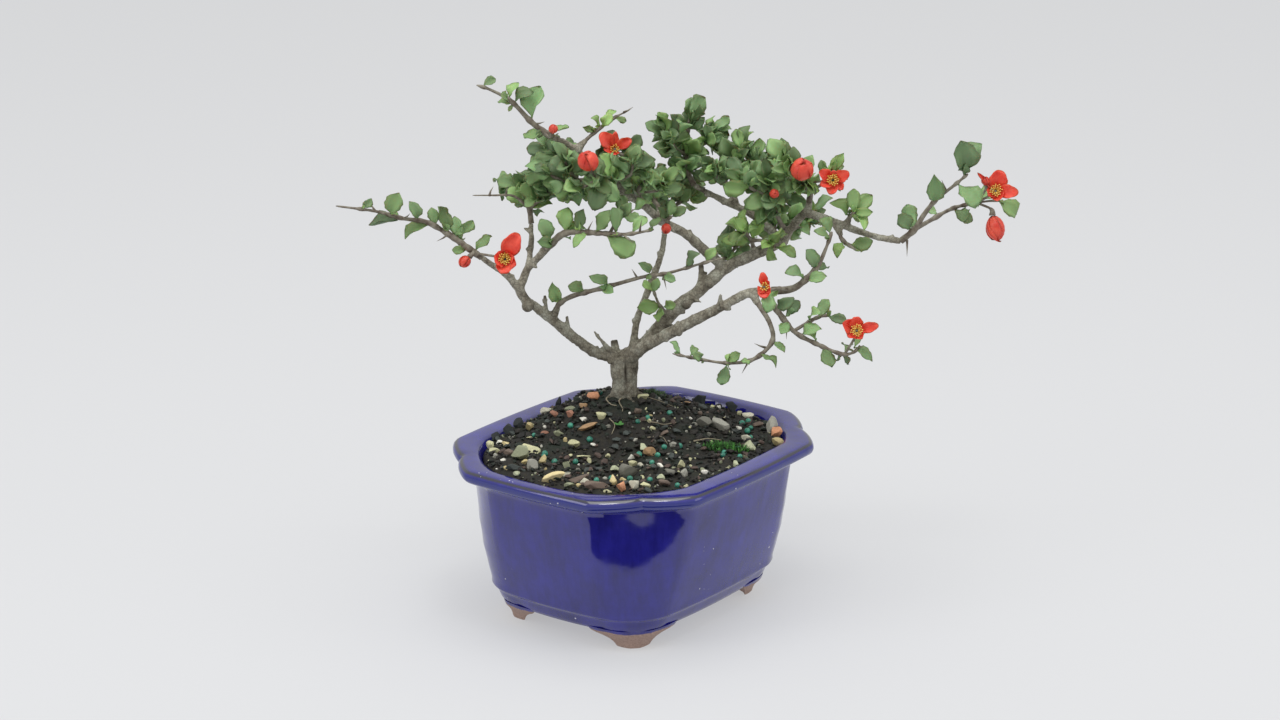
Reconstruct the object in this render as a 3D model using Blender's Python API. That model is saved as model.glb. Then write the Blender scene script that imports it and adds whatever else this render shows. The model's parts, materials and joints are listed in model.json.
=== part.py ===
"""A flowering quince bonsai in a glazed pot with cut corners. Metres, +Z up, standing at Z = 0."""

import math
import random

import bmesh
import bpy
from mathutils import Matrix, Vector
from mathutils.bvhtree import BVHTree

MM = 0.001

# Pot, in millimetres. Insets are measured in from the rim's outline.
POT_LENGTH = 214
POT_WIDTH = 184
POT_HEIGHT = 104
FOOT_HEIGHT = 11
RIM_BOW = 2.0
FLOOR_DEPTH = 86
DRAIN_HOLE_RADIUS = 7
DRAIN_HOLE_SPACING = 78
DRILL_LENGTH = 30
# Shares of a side where its outline has a point, and points round a corner.
SIDE_MIDDLE = 0.55
CORNER_STEPS = 6
# Each ring down the outside from the lip: depth below the rim, insets of the long and the short
# half, bulge of the corner's two ears, how much of the corner is cut off and how round the cut is.
OUTER_PROFILE = (
    (0.0, 1.6, 1.6, 2.6, 48, 0.0),
    (1.2, 0.3, 0.3, 2.6, 48, 0.0),
    (5.4, 0.0, 0.0, 2.6, 48, 0.0),
    (7.2, 1.0, 1.0, 2.4, 48, 0.05),
    (8.8, 4.6, 4.6, 1.6, 47, 0.15),
    (12.0, 10.5, 10.5, 0.4, 45, 0.3),
    (34.0, 14.4, 14.4, 0.0, 42, 0.45),
    (57.0, 19.2, 19.2, 0.0, 37, 0.6),
    (71.0, 23.4, 23.4, 0.0, 34, 0.7),
    (82.5, 28.0, 28.0, 0.0, 31, 0.8),
    (93.0, 33.0, 33.0, 0.0, 29, 1.0),
)
INNER_PROFILE = (
    (0.0, 10.3, 15.4, 0.0, 46, 0.5),
    (2.2, 11.6, 16.7, 0.0, 46, 0.5),
    (14.0, 16.0, 19.5, 0.0, 45, 0.6),
    (86.0, 37.0, 38.0, 0.0, 32, 0.9),
)
# A bracket foot: how far it reaches along each side, how deep it is, and its size at each height.
FOOT_REACH = 28
FOOT_WING = 37
FOOT_DEPTH = 25
FOOT_WEB = 10
FOOT_CUT = 29
FOOT_MARGIN = 1
FOOT_HEEL = 0.52
FOOT_RINGS = ((0.0, 0.36), (5.5, 0.5), (10.4, 0.88), (13.0, 1.0))

# Soil and what stands in it.
CLEARANCE = 0.3
SCREEN_SIZE = 26
SCREEN_THICKNESS = 1.2
SCREEN_GAP = 6
SCREEN_GAP_OFFSET = 3.6
SCREEN_GAP_DRILL = 9
# The soil lies this far below the rim at the middle, and leans by these shares across and along.
SOIL_BELOW_RIM = 2.5
SOIL_LEAN = (0.012, -0.021)
SOIL_EDGE_DEPTH = 5.2
MOUND_RISE = 20
MOUND_RADIUS = 76
TRUNK_HOLE_DEPTH = 38
ROOT_STOCK_RADIUS = 8.4
ROOT_STOCK_TOP = 20
PEBBLE_COUNT = 2
STONE_LIFT = 0.22
# Named stones and bark: across, along, length, width, height, turn in degrees.
STONES = (
    (40, -26, 17, 13, 13, 30),
    (12, 39, 8, 7, 7, 0),
    (59, -54, 9, 8, 9, 40),
    (73, -41, 9, 8, 8, 16),
    (-47, -34, 11, 9, 9, 0),
    (-81, -5, 15, 6, 6, 60),
    (-73, -15, 20, 9, 6, 50),
    (-74, -32, 14, 8, 6, 40),
    (-17, 22, 15, 8, 6, 20),
    (-66, 51, 10, 8, 8, 0),
    (-49, 39, 11, 7, 7, 110),
    (-68, 29, 12, 10, 9, 20),
    (-4, 58, 9, 8, 7, 0),
    (-32, 18, 8, 7, 7, 30),
    (-64, -48, 8, 7, 7, 10),
    (-20, -51, 8, 7, 6, 0),
)

# The tree's own frame: right along its broad face, back from the viewer, up from the rim.
TRUNK_FOOT = (24, 25)
TREE_TURN = -53.7

# Limbs of the wood: sides, radii at both ends, then points as (right, back, up).
LIMBS = {
    "trunk": (8, 8.2, 7.4, ((0, 0, 10), (0, 0, 27), (-1, 0, 36), (-1, 0, 43))),
    "second_stem": (6, 4.2, 5.0, ((3.5, 2, 20.5), (4, 2, 28), (4, 1, 37), (2, 0, 45))),
    "pruned_stub": (6, 3.6, 2.4, ((-3, 1, 40), (-6, 5, 51))),
    "dead_spur": (4, 2.4, 1.0, ((-5, -1, 43), (-12, -5, 52), (-18, -6, 60))),
    "left": (8, 4.4, 3.6, (
        (-2, 0, 41), (-16, -3, 45), (-28, -8, 55), (-42, -14, 69), (-53, -18, 79), (-60, -21, 86), (-63, -22, 95),
    )),
    "left_spur_low": (4, 1.8, 1.2, ((-33, -10, 60), (-34, -12, 71))),
    "left_spur_high": (4, 1.8, 1.2, ((-46, -16, 73), (-47, -18, 86))),
    "left_long": (6, 3.2, 2.2, ((-62, -22, 91), (-70, -24, 101), (-78, -26, 107), (-84, -28, 112))),
    "left_rise": (6, 3.2, 2.6, ((-62, -22, 91), (-57, -20, 103), (-51, -22, 110), (-44, -28, 119))),
    "left_inner": (6, 2.4, 1.9, ((-57, -20, 102), (-55, -14, 117), (-55, -9, 128))),
    "upright": (6, 3.2, 2.4, ((5, 2, 43), (8, 11, 61), (13, 18, 74), (18, 24, 85), (23, 30, 98), (25, 36, 110))),
    "right": (8, 6.4, 4.4, (
        (0, 0, 41), (13, 4, 49), (31, 8, 69), (47, 12, 81), (63, 16, 94), (84, 20, 103), (99, 24, 109),
    )),
    "right_stub": (6, 2.6, 2.0, ((44, 11, 79), (47, 15, 87), (47, 18, 95))),
    "right_end": (6, 3.6, 2.6, ((97, 24, 108), (104, 22, 120), (111, 18, 129), (112, 16, 135))),
    "right_shoot": (6, 3.0, 2.4, ((110, 19, 127), (122, 14, 125), (137, 10, 120), (151, 6, 116), (167, 2, 114))),
    "crossing": (6, 4.4, 2.2, (
        (62, 16, 93), (48, 10, 107), (37, 5, 118), (23, 0, 127), (11, -5, 139), (-2, -8, 148), (-13, -10, 158),
        (-28, -12, 174), (-42, -13, 182),
    )),
    "lower_right": (8, 5.4, 3.6, (
        (3, -1, 41), (11, -8, 50), (22, -14, 58), (41, -20, 70), (59, -25, 81), (74, -28, 90), (88, -30, 92),
    )),
    "lower_spur": (4, 2.0, 1.4, ((57, -24, 80), (58, -27, 89))),
    "crown": (6, 3.6, 2.4, ((97, 23, 108), (79, 32, 122), (68, 36, 127), (54, 40, 133), (43, 44, 138))),
}

# Leafy sprays. "on" is the limb whose end the first twig carries on, or the limb and the point
# where it stands on a short spur. A twig is its radii and its points; the first twig's points
# follow on from the wood. A leaf is its twig, its place along it and its reach to the tip. A fill
# is its twig, how many leaves it has, their length and where they begin. A thorn reads as a leaf.
# A stalk is the point it leaves, the bloom's seat, the bloom's axis and the calyx's radius.
SPRAYS = {
    "spray_left_long": {
        "on": ("left_long",),
        "twigs": (
            (1.9, 0.8, ((-96, -31, 122), (-105, -33, 129), (-116, -36, 136), (-130, -39, 139), (-145, -42, 144),
                        (-168, -45, 148))),
        ),
        "leaves": (
            (0, 0.05, (13, -2, 9)), (0, 0.10, (-9, -3, 3)), (0, 0.16, (-3, 6, 15)), (0, 0.27, (-4, -3, 18)),
            (0, 0.22, (12, 5, 8)), (0, 0.36, (-3, 4, 11)), (0, 0.40, (-17, -6, -3)), (0, 0.48, (-4, -4, 13)),
            (0, 0.60, (-17, 3, -8)), (0, 0.66, (6, -3, 15)), (0, 0.84, (7, 3, 6)),
        ),
        "thorns": ((0, 0.30, (-6, -4, -3)), (0, 0.56, (3, -6, 4)), (0, 0.76, (-4, 6, 3))),
        "stalks": (
            ((-88, -29, 115), (-75, -40, 118), (5, -8, -1), 2.4),
            ((-90, -29, 117), (-94, -34, 114), (-5, -3, -5), 1.8),
        ),
    },
    "spray_left_inner": {
        "on": ("left_inner",),
        "twigs": (
            (1.8, 1.0, ((-56, -5, 136), (-57, 0, 143), (-61, 4, 149), (-65, 6, 151))),
            (1.1, 0.5, ((-56, -5, 136), (-65, -14, 146), (-77, -20, 148), (-89, -24, 149))),
            (1.3, 0.8, ((-56, -5, 136), (-48, -13, 145), (-43, -19, 150))),
        ),
        "fill": ((0, 9, 17, 0.1), (2, 6, 16, 0.3)),
        "thorns": ((1, 0.5, (1, -3, 6)), (1, 0.75, (2, 4, 4))),
    },
    "spray_left_rise": {
        "on": ("left_rise",),
        "twigs": (
            (2.2, 0.8, ((-35, -33, 128), (-21, -38, 130), (-4, -42, 130), (6, -44, 131), (18, -46, 134))),
            (1.1, 0.8, ((-8, -41, 130), (-3, -35, 137), (6, -31, 142))),
        ),
        "fill": ((1, 5, 13, 0.3),),
        "leaves": (
            (0, 0.04, (-6, -3, 16)), (0, 0.10, (-12, -6, 6)), (0, 0.14, (15, -5, 6)), (0, 0.20, (3, 6, 15)),
            (0, 0.34, (2, -3, 15)), (0, 0.42, (-9, -5, -7)), (0, 0.50, (9, -3, 16)), (0, 0.58, (20, -4, -10)),
            (0, 0.66, (-4, 8, 13)), (0, 0.80, (9, 5, 10)), (0, 0.97, (9, -3, 5)),
        ),
        "thorns": ((0, 0.46, (3, -3, 7)), (0, 0.74, (6, -4, -4)), (0, 0.88, (1, -3, 8))),
    },
    "spray_thin_cross": {
        "on": ("left", (-43, -14, 70)),
        "twigs": (
            (1.7, 0.8, ((-38, -18, 81), (-29, -22, 87), (-12, -27, 93), (11, -32, 101), (26, -34, 104), (46, -38, 111),
                        (59, -40, 115))),
        ),
        "leaves": (
            (0, 0.06, (-5, -4, 14)), (0, 0.22, (-11, -3, 5)), (0, 0.36, (-13, -4, 8)), (0, 0.32, (12, -5, 2)),
            (0, 0.60, (-8, -6, 9)), (0, 0.68, (9, -6, -3)), (0, 0.80, (6, -3, 10)), (0, 0.90, (7, 5, 9)),
        ),
        "thorns": ((0, 0.66, (2, -3, -8)), (0, 0.52, (-3, -3, 6))),
    },
    "spray_upright": {
        "on": ("upright",),
        "twigs": (
            (2.0, 1.0, ((26, 42, 121), (22, 50, 132), (14, 58, 140))),
            (1.3, 0.8, ((26, 42, 121), (36, 54, 126), (42, 66, 128))),
        ),
        "fill": ((0, 10, 18, 0.2), (1, 7, 16, 0.3)),
    },
    "spray_upper_left": {
        "on": ("crossing",),
        "twigs": (
            (2.0, 0.9, ((-48, -14, 186), (-55, -14, 192), (-66, -15, 204), (-78, -16, 211), (-86, -17, 214))),
        ),
        "leaves": (
            (0, 0.04, (-2, -3, 15)), (0, 0.16, (-11, -7, -4)), (0, 0.30, (7, 5, 19)), (0, 0.56, (-10, 3, 2)),
            (0, 0.60, (13, -3, 8)), (0, 0.64, (6, 3, 9)), (0, 0.70, (-3, -4, 9)), (0, 0.93, (8, 3, 3)),
        ),
        "thorns": ((0, 0.22, (5, -3, 2)),),
        "stalks": (((-48, -14, 186), (-42, -19, 190), (2, -3, 6), 1.5),),
    },
    "spray_upper_twig": {
        "on": ("crossing", (-28, -12, 174)),
        "twigs": ((1.3, 0.6, ((-17, -2, 182), (-6, 4, 189), (2, 6, 193))),),
        "leaves": (
            (0, 0.45, (-7, -2, 6)), (0, 0.50, (7, -2, 8)), (0, 0.30, (-8, -3, 3)), (0, 0.75, (8, 2, -1)),
            (0, 0.62, (3, 6, 6)),
        ),
        "thorns": ((0, 0.97, (5, 0, 3)),),
    },
    "spray_middle_left": {
        "on": ("crossing", (-13, -10, 158)),
        "twigs": (
            (1.5, 0.9, ((-26, -17, 156), (-35, -22, 157), (-43, -22, 161))),
            (1.2, 0.8, ((-26, -17, 156), (-31, -28, 164), (-34, -30, 171))),
        ),
        "fill": ((0, 10, 17, 0.15), (1, 5, 16, 0.4)),
    },
    "spray_middle_front": {
        "on": ("crossing", (-2, -8, 148)),
        "twigs": (
            (1.5, 0.9, ((-6, -24, 157), (-14, -33, 160), (-24, -37, 157))),
            (1.2, 0.8, ((-6, -24, 157), (4, -26, 162), (6, -28, 169))),
        ),
        "fill": ((0, 9, 17, 0.2), (1, 5, 15, 0.4)),
        "stalks": (((-14, -33, 160), (-19, -42, 167), (-2, -5, 7), 2.2),),
    },
    "spray_middle_top": {
        "on": ("crossing", (-20, -11, 165)),
        "twigs": ((1.4, 0.9, ((-14, -6, 170), (-6, -4, 171), (3, -6, 167))),),
        "fill": ((0, 7, 16, 0.25),),
        "stalks": (((-9, -5, 171), (-3, -12, 173), (-1, -3, 8), 2.2),),
    },
    "spray_middle_back": {
        "on": ("crossing", (-28, -12, 173)),
        "twigs": ((1.4, 0.9, ((-35, -2, 166), (-41, 8, 163), (-45, 14, 165))),),
        "fill": ((0, 9, 17, 0.15),),
    },
    "spray_centre": {
        "on": ("crossing", (11, -5, 139)),
        "twigs": (
            (1.4, 0.9, ((8, -14, 148), (12, -18, 156), (10, -22, 162))),
            (1.1, 0.8, ((8, -14, 148), (20, -16, 150), (24, -18, 156))),
        ),
        "fill": ((0, 8, 17, 0.2), (1, 5, 15, 0.4)),
    },
    "spray_centre_front": {
        "on": ("crossing", (23, 0, 127)),
        "twigs": ((1.1, 0.8, ((26, -11, 131), (29, -16, 134))),),
        "leaves": ((0, 0.55, (-6, -4, 10)), (0, 0.80, (10, -4, 4)), (0, 0.92, (4, -2, 12))),
        "stalks": (((26, -11, 131), (25, -15, 124), (-1, -4, -6), 1.6),),
    },
    "spray_centre_back": {
        "on": ("crossing", (23, 0, 127)),
        "twigs": ((1.5, 0.9, ((20, 14, 134), (12, 26, 140), (0, 36, 143))),),
        "fill": ((0, 10, 17, 0.2),),
    },
    "spray_crown_top": {
        "on": ("crown",),
        "twigs": (
            (2.0, 1.0, ((39, 47, 146), (38, 49, 156), (39, 51, 167), (40, 51, 178))),
            (1.3, 0.8, ((38, 49, 156), (31, 44, 162), (26, 42, 169))),
            (1.3, 0.8, ((38, 49, 156), (48, 53, 161), (55, 55, 168))),
            (1.2, 0.8, ((39, 47, 146), (30, 39, 146), (25, 34, 141))),
        ),
        "fill": ((0, 11, 16, 0.12), (1, 5, 15, 0.35), (2, 5, 15, 0.35), (3, 4, 16, 0.35)),
    },
    "spray_crown_right": {
        "on": ("crown", (68, 36, 127)),
        "twigs": (
            (1.8, 0.9, ((66, 41, 139), (68, 46, 148), (72, 50, 159))),
            (1.2, 0.8, ((66, 41, 139), (58, 34, 145), (53, 30, 152))),
            (1.2, 0.8, ((68, 46, 148), (78, 48, 150), (88, 48, 154))),
        ),
        "fill": ((0, 9, 16, 0.15), (1, 5, 15, 0.3), (2, 5, 16, 0.35)),
    },
    "spray_crown_back": {
        "on": ("crown", (84, 30, 118)),
        "twigs": (
            (1.6, 0.9, ((86, 44, 126), (84, 58, 136), (78, 68, 146))),
            (1.2, 0.8, ((86, 44, 126), (98, 54, 130), (106, 62, 134))),
        ),
        "fill": ((0, 9, 17, 0.2), (1, 6, 17, 0.3)),
    },
    "spray_right_rise": {
        "on": ("right_end", (99, 24, 112)),
        "twigs": (
            (1.6, 0.9, ((93, 16, 126), (88, 10, 139), (86, 6, 152))),
            (1.2, 0.8, ((88, 10, 139), (78, 10, 144), (72, 12, 151))),
        ),
        "fill": ((0, 10, 17, 0.15), (1, 5, 16, 0.35)),
        "stalks": (((88, 10, 139), (90, 0, 144), (1, -8, 2), 1.7),),
    },
    "spray_right_end": {
        "on": ("right_end",),
        "twigs": (
            (2.0, 0.9, ((112, 13, 142), (104, 6, 152), (95, 3, 163))),
            (1.2, 0.8, ((112, 13, 142), (122, 10, 149), (126, 8, 156))),
        ),
        "fill": ((0, 9, 17, 0.25), (1, 5, 15, 0.45)),
        "stalks": (
            ((104, 6, 152), (108, -4, 154), (1, -6, 6), 2.2),
            ((107, 8.5, 148), (125, -1, 152), (2, -8, 1), 2.2),
        ),
    },
    "spray_shoulder": {
        "on": ("right_shoot", (134, 11, 121)),
        "twigs": ((1.3, 0.9, ((136, 5, 128), (139, 2, 132))),),
        "leaves": (
            (0, 0.40, (-12, -2, 10)), (0, 0.55, (15, -2, 12)), (0, 0.70, (16, -5, 5)), (0, 0.85, (1, 4, 15)),
            (0, 0.95, (13, -4, -1)), (0, 0.60, (8, 10, 9)),
        ),
    },
    "spray_under_shoot": {
        "on": ("right_shoot", (128, 12, 123)),
        "twigs": ((1.3, 0.9, ((132, 4, 114), (140, 0, 109))),),
        "leaves": ((0, 0.40, (-5, -6, -8)), (0, 0.70, (14, -5, -4)), (0, 0.95, (12, -2, 3)), (0, 0.85, (6, 7, -7))),
    },
    "spray_right_tip": {
        "on": ("right_shoot",),
        "twigs": (
            (2.1, 0.9, ((175, 0, 122), (180, -1, 131), (187, -3, 141), (197, -5, 150), (205, -8, 158))),
            (1.5, 0.8, ((175, 0, 122), (185, 6, 126), (198, 7, 133), (212, 5, 137), (226, 4, 139))),
        ),
        "leaves": (
            (0, 0.97, (-5, -3, 24)), (0, 0.99, (13, 5, 18)), (0, 0.55, (5, -3, 22)), (0, 0.22, (-2, 3, 18)),
            (0, 0.18, (-10, -4, 12)), (0, 0.85, (19, -5, 6)), (1, 0.80, (13, -6, 8)), (1, 0.62, (-7, -5, -12)),
            (1, 0.50, (11, -4, -6)), (1, 0.97, (9, -3, -14)), (1, 0.30, (-6, 8, 3)),
        ),
        "thorns": ((0, 0.03, (0, -3, -8)), (0, 0.72, (-3, -2, 7))),
        "stalks": (
            ((212, 5, 137), (222, -3, 146), (6, -5, 7), 2.1),
            ((212, 5, 137), (216, -5, 151), (-1, -4, 8), 1.3),
            ((212, 5, 137), (221, -2, 131), (2, -3, -8), 2.1),
        ),
    },
    "spray_bright": {
        "on": ("right", (80, 19, 101)),
        "twigs": (
            (1.5, 0.9, ((77, 8, 113), (72, 0, 121))),
            (1.2, 0.8, ((77, 8, 113), (86, 2, 114), (92, -2, 111))),
        ),
        "fill": ((0, 7, 17, 0.3), (1, 5, 16, 0.4)),
    },
    "spray_sucker": {
        "on": ("right", (27, 7, 64)),
        "twigs": ((1.2, 0.8, ((21, 0, 76), (18, -4, 85))),),
        "leaves": (
            (0, 0.20, (-17, -5, 2)), (0, 0.35, (-3, -10, -7)), (0, 0.25, (10, -4, 3)), (0, 0.90, (2, -2, 11)),
            (0, 0.95, (-6, 3, 7)),
        ),
    },
    "spray_lower_rise": {
        "on": ("lower_right",),
        "twigs": (
            (2.6, 0.9, ((98, -31, 93), (105, -30, 96), (115, -28, 106), (120, -25, 116), (124, -21, 126))),
            (1.2, 0.8, ((98, -31, 93), (92, -42, 97), (84, -50, 98))),
        ),
        "leaves": (
            (0, 0.55, (-4, -4, 14)), (0, 0.45, (14, -4, 3)), (0, 0.40, (-12, -6, 4)), (0, 0.60, (8, 9, -3)),
            (0, 0.90, (-8, -5, 8)), (0, 0.97, (4, 6, 13)), (1, 0.50, (-9, -2, -10)), (1, 0.90, (-2, -5, -13)),
        ),
        "stalks": (((92, -42, 97), (85, -47, 103), (-2, -5, 5), 1.5),),
    },
    "spray_lower_right": {
        "on": ("lower_right", (84, -29, 92)),
        "twigs": (
            (1.9, 0.9, ((93, -38, 80), (101, -43, 71), (113, -47, 65), (131, -51, 59), (142, -53, 65))),
            (1.2, 0.8, ((101, -43, 71), (114, -40, 78), (122, -40, 80))),
        ),
        "leaves": (
            (0, 0.10, (9, -8, 8)), (0, 0.20, (10, 6, 10)), (0, 0.30, (-6, -8, -10)), (0, 0.42, (12, -6, 6)),
            (0, 0.55, (-3, 8, 9)), (0, 0.62, (9, -6, -9)), (0, 0.76, (6, 5, -10)), (0, 0.84, (8, -6, 10)),
            (0, 0.92, (12, 3, 8)), (0, 0.97, (11, -5, -5)), (1, 0.50, (6, -8, 8)), (1, 0.70, (11, 3, 9)),
            (1, 0.95, (12, -4, -3)),
        ),
        "thorns": ((0, 0.26, (0, -3, -8)),),
        "stalks": (((131, -51, 59), (137, -60, 76), (1, -3, 8), 2.2),),
    },
    "spray_return": {
        "on": ("lower_right", (76, -28, 91)),
        "twigs": (
            (1.7, 0.7, ((87, -41, 75), (88, -46, 65), (77, -51, 56), (62, -52, 54), (45, -54, 57), (29, -56, 61))),
        ),
        "leaves": (
            (0, 0.30, (7, -5, -6)), (0, 0.42, (12, -4, -6)), (0, 0.52, (-4, -6, -6)), (0, 0.64, (10, -3, 7)),
            (0, 0.66, (-2, -2, -13)), (0, 0.80, (-8, -4, 4)), (0, 0.95, (-10, 2, 5)), (0, 0.88, (4, 6, 5)),
        ),
        "thorns": ((0, 0.50, (-4, -2, -7)), (0, 0.36, (-6, -2, 3))),
    },
    "spray_back_right": {
        "on": ("right", (88, 21, 105)),
        "twigs": (
            (1.7, 0.9, ((92, 40, 108), (92, 56, 114), (88, 72, 120))),
            (1.2, 0.8, ((92, 40, 108), (106, 48, 112), (116, 52, 118))),
        ),
        "fill": ((0, 8, 17, 0.25), (1, 6, 17, 0.3)),
    },
    "spray_back_left": {
        "on": ("right", (56, 14, 88)),
        "twigs": ((1.7, 0.9, ((58, 30, 92), (66, 44, 95), (72, 57, 100))),),
        "fill": ((0, 8, 14, 0.3),),
    },
}

# Blooms: the stalk they sit on (spray and number), radius, kind, and turn in degrees.
BLOOMS = {
    "bloom_left": ("spray_left_long", 0, 13, "open", 20),
    "bud_left": ("spray_left_long", 1, 3.4, "bud", 0),
    "buds_upper": ("spray_upper_left", 0, 2.6, "bud", 30),
    "cup_middle": ("spray_middle_front", 0, 6.8, "cup", 10),
    "bloom_middle": ("spray_middle_top", 0, 10.5, "bowl", 0),
    "bud_centre": ("spray_centre_front", 0, 2.6, "bud", 0),
    "bud_crown": ("spray_right_rise", 0, 2.8, "bud", 0),
    "cup_crown": ("spray_right_end", 0, 7.2, "cup", 40),
    "bloom_right": ("spray_right_end", 1, 10, "open", 50),
    "bloom_tip": ("spray_right_tip", 0, 12, "open", 30),
    "bud_tip": ("spray_right_tip", 1, 2.4, "bud", 0),
    "cup_hanging": ("spray_right_tip", 2, 8.4, "cup", 0),
    "bloom_inner": ("spray_lower_rise", 0, 9, "bowl", 0),
    "bloom_lower": ("spray_lower_right", 0, 10.5, "open", 15),
}
# Petals: degrees from the bloom's axis at the claw and at the tip, and how wide they are.
PETALS = {"open": (34, 84, 1.0), "bowl": (20, 58, 0.82)}
PETAL_CUP = 0.34
PETAL_THICKNESS = 0.7

TWIG_STEP = 11
LIMB_STEP = 14
SPUR_LENGTH = 6.5
STATION = 1.1
STATION_SPACING = 3.6
LEAF_THICKNESS = 0.8
LEAF_WIDTH = 0.56
LEAF_FOLD = 0.22
SAFETY = 0.5
ROOT_ALLOWANCE = 1.8
LEAF_TRIES = 16
SMALL_LEAF = 11.5
# Which way a leaf's upper face looks, in the tree's frame.
LEAF_FACES = (0, -0.75, 0.66)


def clear_scene():
    for item in list(bpy.data.objects):
        bpy.data.objects.remove(item, do_unlink=True)


def new_collection(name):
    made = bpy.data.collections.new(name)
    bpy.context.scene.collection.children.link(made)
    return made


def paint(name, colour, roughness, coat=0.0):
    """A Principled material; colour is linear."""
    made = bpy.data.materials.new(name)
    made.use_nodes = True
    shader = made.node_tree.nodes["Principled BSDF"]
    shader.inputs["Base Color"].default_value = (*colour, 1)
    shader.inputs["Roughness"].default_value = roughness
    shader.inputs["Coat Weight"].default_value = coat
    made.diffuse_color = (*colour, 1)
    return made


def place(name, bm, collection, material=None):
    """Turns a bmesh into a named object in a collection."""
    bmesh.ops.recalc_face_normals(bm, faces=bm.faces)
    mesh = bpy.data.meshes.new(name)
    bm.to_mesh(mesh)
    bm.free()
    if material:
        mesh.materials.append(material)
    made = bpy.data.objects.new(name, mesh)
    collection.objects.link(made)
    return made


def loft(rings):
    """A closed skin through rings with the same number of points."""
    bm = bmesh.new()
    levels = [[bm.verts.new(point) for point in ring] for ring in rings]
    count = len(levels[0])
    for lower, upper in zip(levels, levels[1:]):
        for i in range(count):
            j = (i + 1) % count
            bm.faces.new((lower[i], lower[j], upper[j], upper[i]))
    bm.faces.new(levels[0])
    bm.faces.new(levels[-1])
    return bm


def evaluated_copy(item):
    """The mesh of an object with its modifiers applied."""
    depsgraph = bpy.context.evaluated_depsgraph_get()
    return bpy.data.meshes.new_from_object(item.evaluated_get(depsgraph))


def largest_body(mesh, flat):
    """Merges nearly flat faces and keeps the largest body: a sealed hollow is filled, a scrap dropped."""
    bm = bmesh.new()
    bm.from_mesh(mesh)
    bmesh.ops.dissolve_limit(bm, angle_limit=math.radians(flat), verts=bm.verts, edges=bm.edges)
    bmesh.ops.triangulate(bm, faces=bm.faces)
    seen = set()
    bodies = []
    for start in bm.verts:
        if start in seen:
            continue
        body = {start}
        front = [start]
        while front:
            for edge in front.pop().link_edges:
                for vert in edge.verts:
                    if vert not in body:
                        body.add(vert)
                        front.append(vert)
        seen |= body
        bodies.append(body)
    keep = max(bodies, key=len)
    bmesh.ops.delete(bm, geom=[v for v in bm.verts if v not in keep], context="VERTS")
    bm.to_mesh(mesh)
    bm.free()


def combine(base, others, operation, material, flat=1.5):
    """Joins or cuts the objects of a collection with a base object, and removes them."""
    group = new_collection("joined")
    for other in others:
        for owner in list(other.users_collection):
            owner.objects.unlink(other)
        group.objects.link(other)
    boolean = base.modifiers.new(operation.lower(), "BOOLEAN")
    boolean.operation = operation
    boolean.operand_type = "COLLECTION"
    boolean.collection = group
    result = evaluated_copy(base)
    base.modifiers.clear()
    largest_body(result, flat)
    result.materials.clear()
    result.materials.append(material)
    base.data = result
    for other in others:
        bpy.data.objects.remove(other, do_unlink=True)
    bpy.data.collections.remove(group)
    return base


def smooth_path(points, step):
    """Points along a Catmull-Rom curve through the given ones, about a step apart."""
    ends = [points[0] * 2 - points[1], *points, points[-1] * 2 - points[-2]]
    path = []
    for a, b, c, d in zip(ends, ends[1:], ends[2:], ends[3:]):
        count = max(1, round((c - b).length / step))
        for i in range(count):
            t = i / count
            path.append(0.5 * (
                2 * b + (c - a) * t + (2 * a - 5 * b + 4 * c - d) * t ** 2 + (3 * b - a - 3 * c + d) * t ** 3
            ))
    path.append(points[-1].copy())
    return path


def tube(name, path, start_radius, end_radius, sides, collection):
    """A tapered round bar along a path, as a mesh with welded caps."""
    curve = bpy.data.curves.new(name, "CURVE")
    curve.dimensions = "3D"
    curve.bevel_depth = 1.0
    curve.bevel_resolution = (sides - 4) // 2
    curve.use_fill_caps = True
    spline = curve.splines.new("POLY")
    spline.points.add(len(path) - 1)
    for i, (spot, centre) in enumerate(zip(spline.points, path)):
        spot.co = (*centre, 1)
        spot.radius = start_radius + (end_radius - start_radius) * i / (len(path) - 1)
    bar = bpy.data.objects.new(name, curve)
    collection.objects.link(bar)
    mesh = evaluated_copy(bar)
    bpy.data.objects.remove(bar, do_unlink=True)
    bm = bmesh.new()
    bm.from_mesh(mesh)
    bmesh.ops.remove_doubles(bm, verts=bm.verts, dist=0.00001)
    bmesh.ops.triangulate(bm, faces=bm.faces)
    return place(name, bm, collection)


def mesh_tree(item):
    """A search tree of an object's surface."""
    bm = bmesh.new()
    bm.from_mesh(item.data)
    tree = BVHTree.FromBMesh(bm)
    bm.free()
    return tree


def outline(inset_x, inset_y, bulge, corner, rounded):
    """One ring of the pot: gently bowed sides, and corners cut off into two ears or rounded."""
    half_x = POT_LENGTH / 2 - inset_x
    half_y = POT_WIDTH / 2 - inset_y
    quarter = []
    for along in (0.0, SIDE_MIDDLE):
        quarter.append((half_x - RIM_BOW * along ** 2, along * (half_y - corner)))
    side = (half_x - RIM_BOW, half_y - corner)
    end = (half_x - corner, half_y - RIM_BOW)
    for i in range(CORNER_STEPS + 1):
        f = i / CORNER_STEPS
        arch = math.sqrt(1 - 2 * (f - 0.5) ** 2) - math.sqrt(0.5)
        ear = math.sqrt(abs(math.sin(2 * math.pi * f)))
        lift = (bulge * ear + rounded * corner * arch) * math.sqrt(0.5)
        quarter.append((side[0] + (end[0] - side[0]) * f + lift, side[1] + (end[1] - side[1]) * f + lift))
    quarter.append((SIDE_MIDDLE * (half_x - corner), half_y - RIM_BOW * SIDE_MIDDLE ** 2))
    ring = []
    ring += quarter
    ring.append((0.0, half_y))
    ring += [(-x, y) for x, y in reversed(quarter)]
    ring += [(-x, -y) for x, y in quarter[1:]]
    ring.append((0.0, -half_y))
    ring += [(x, -y) for x, y in reversed(quarter[1:])]
    return ring


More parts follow.
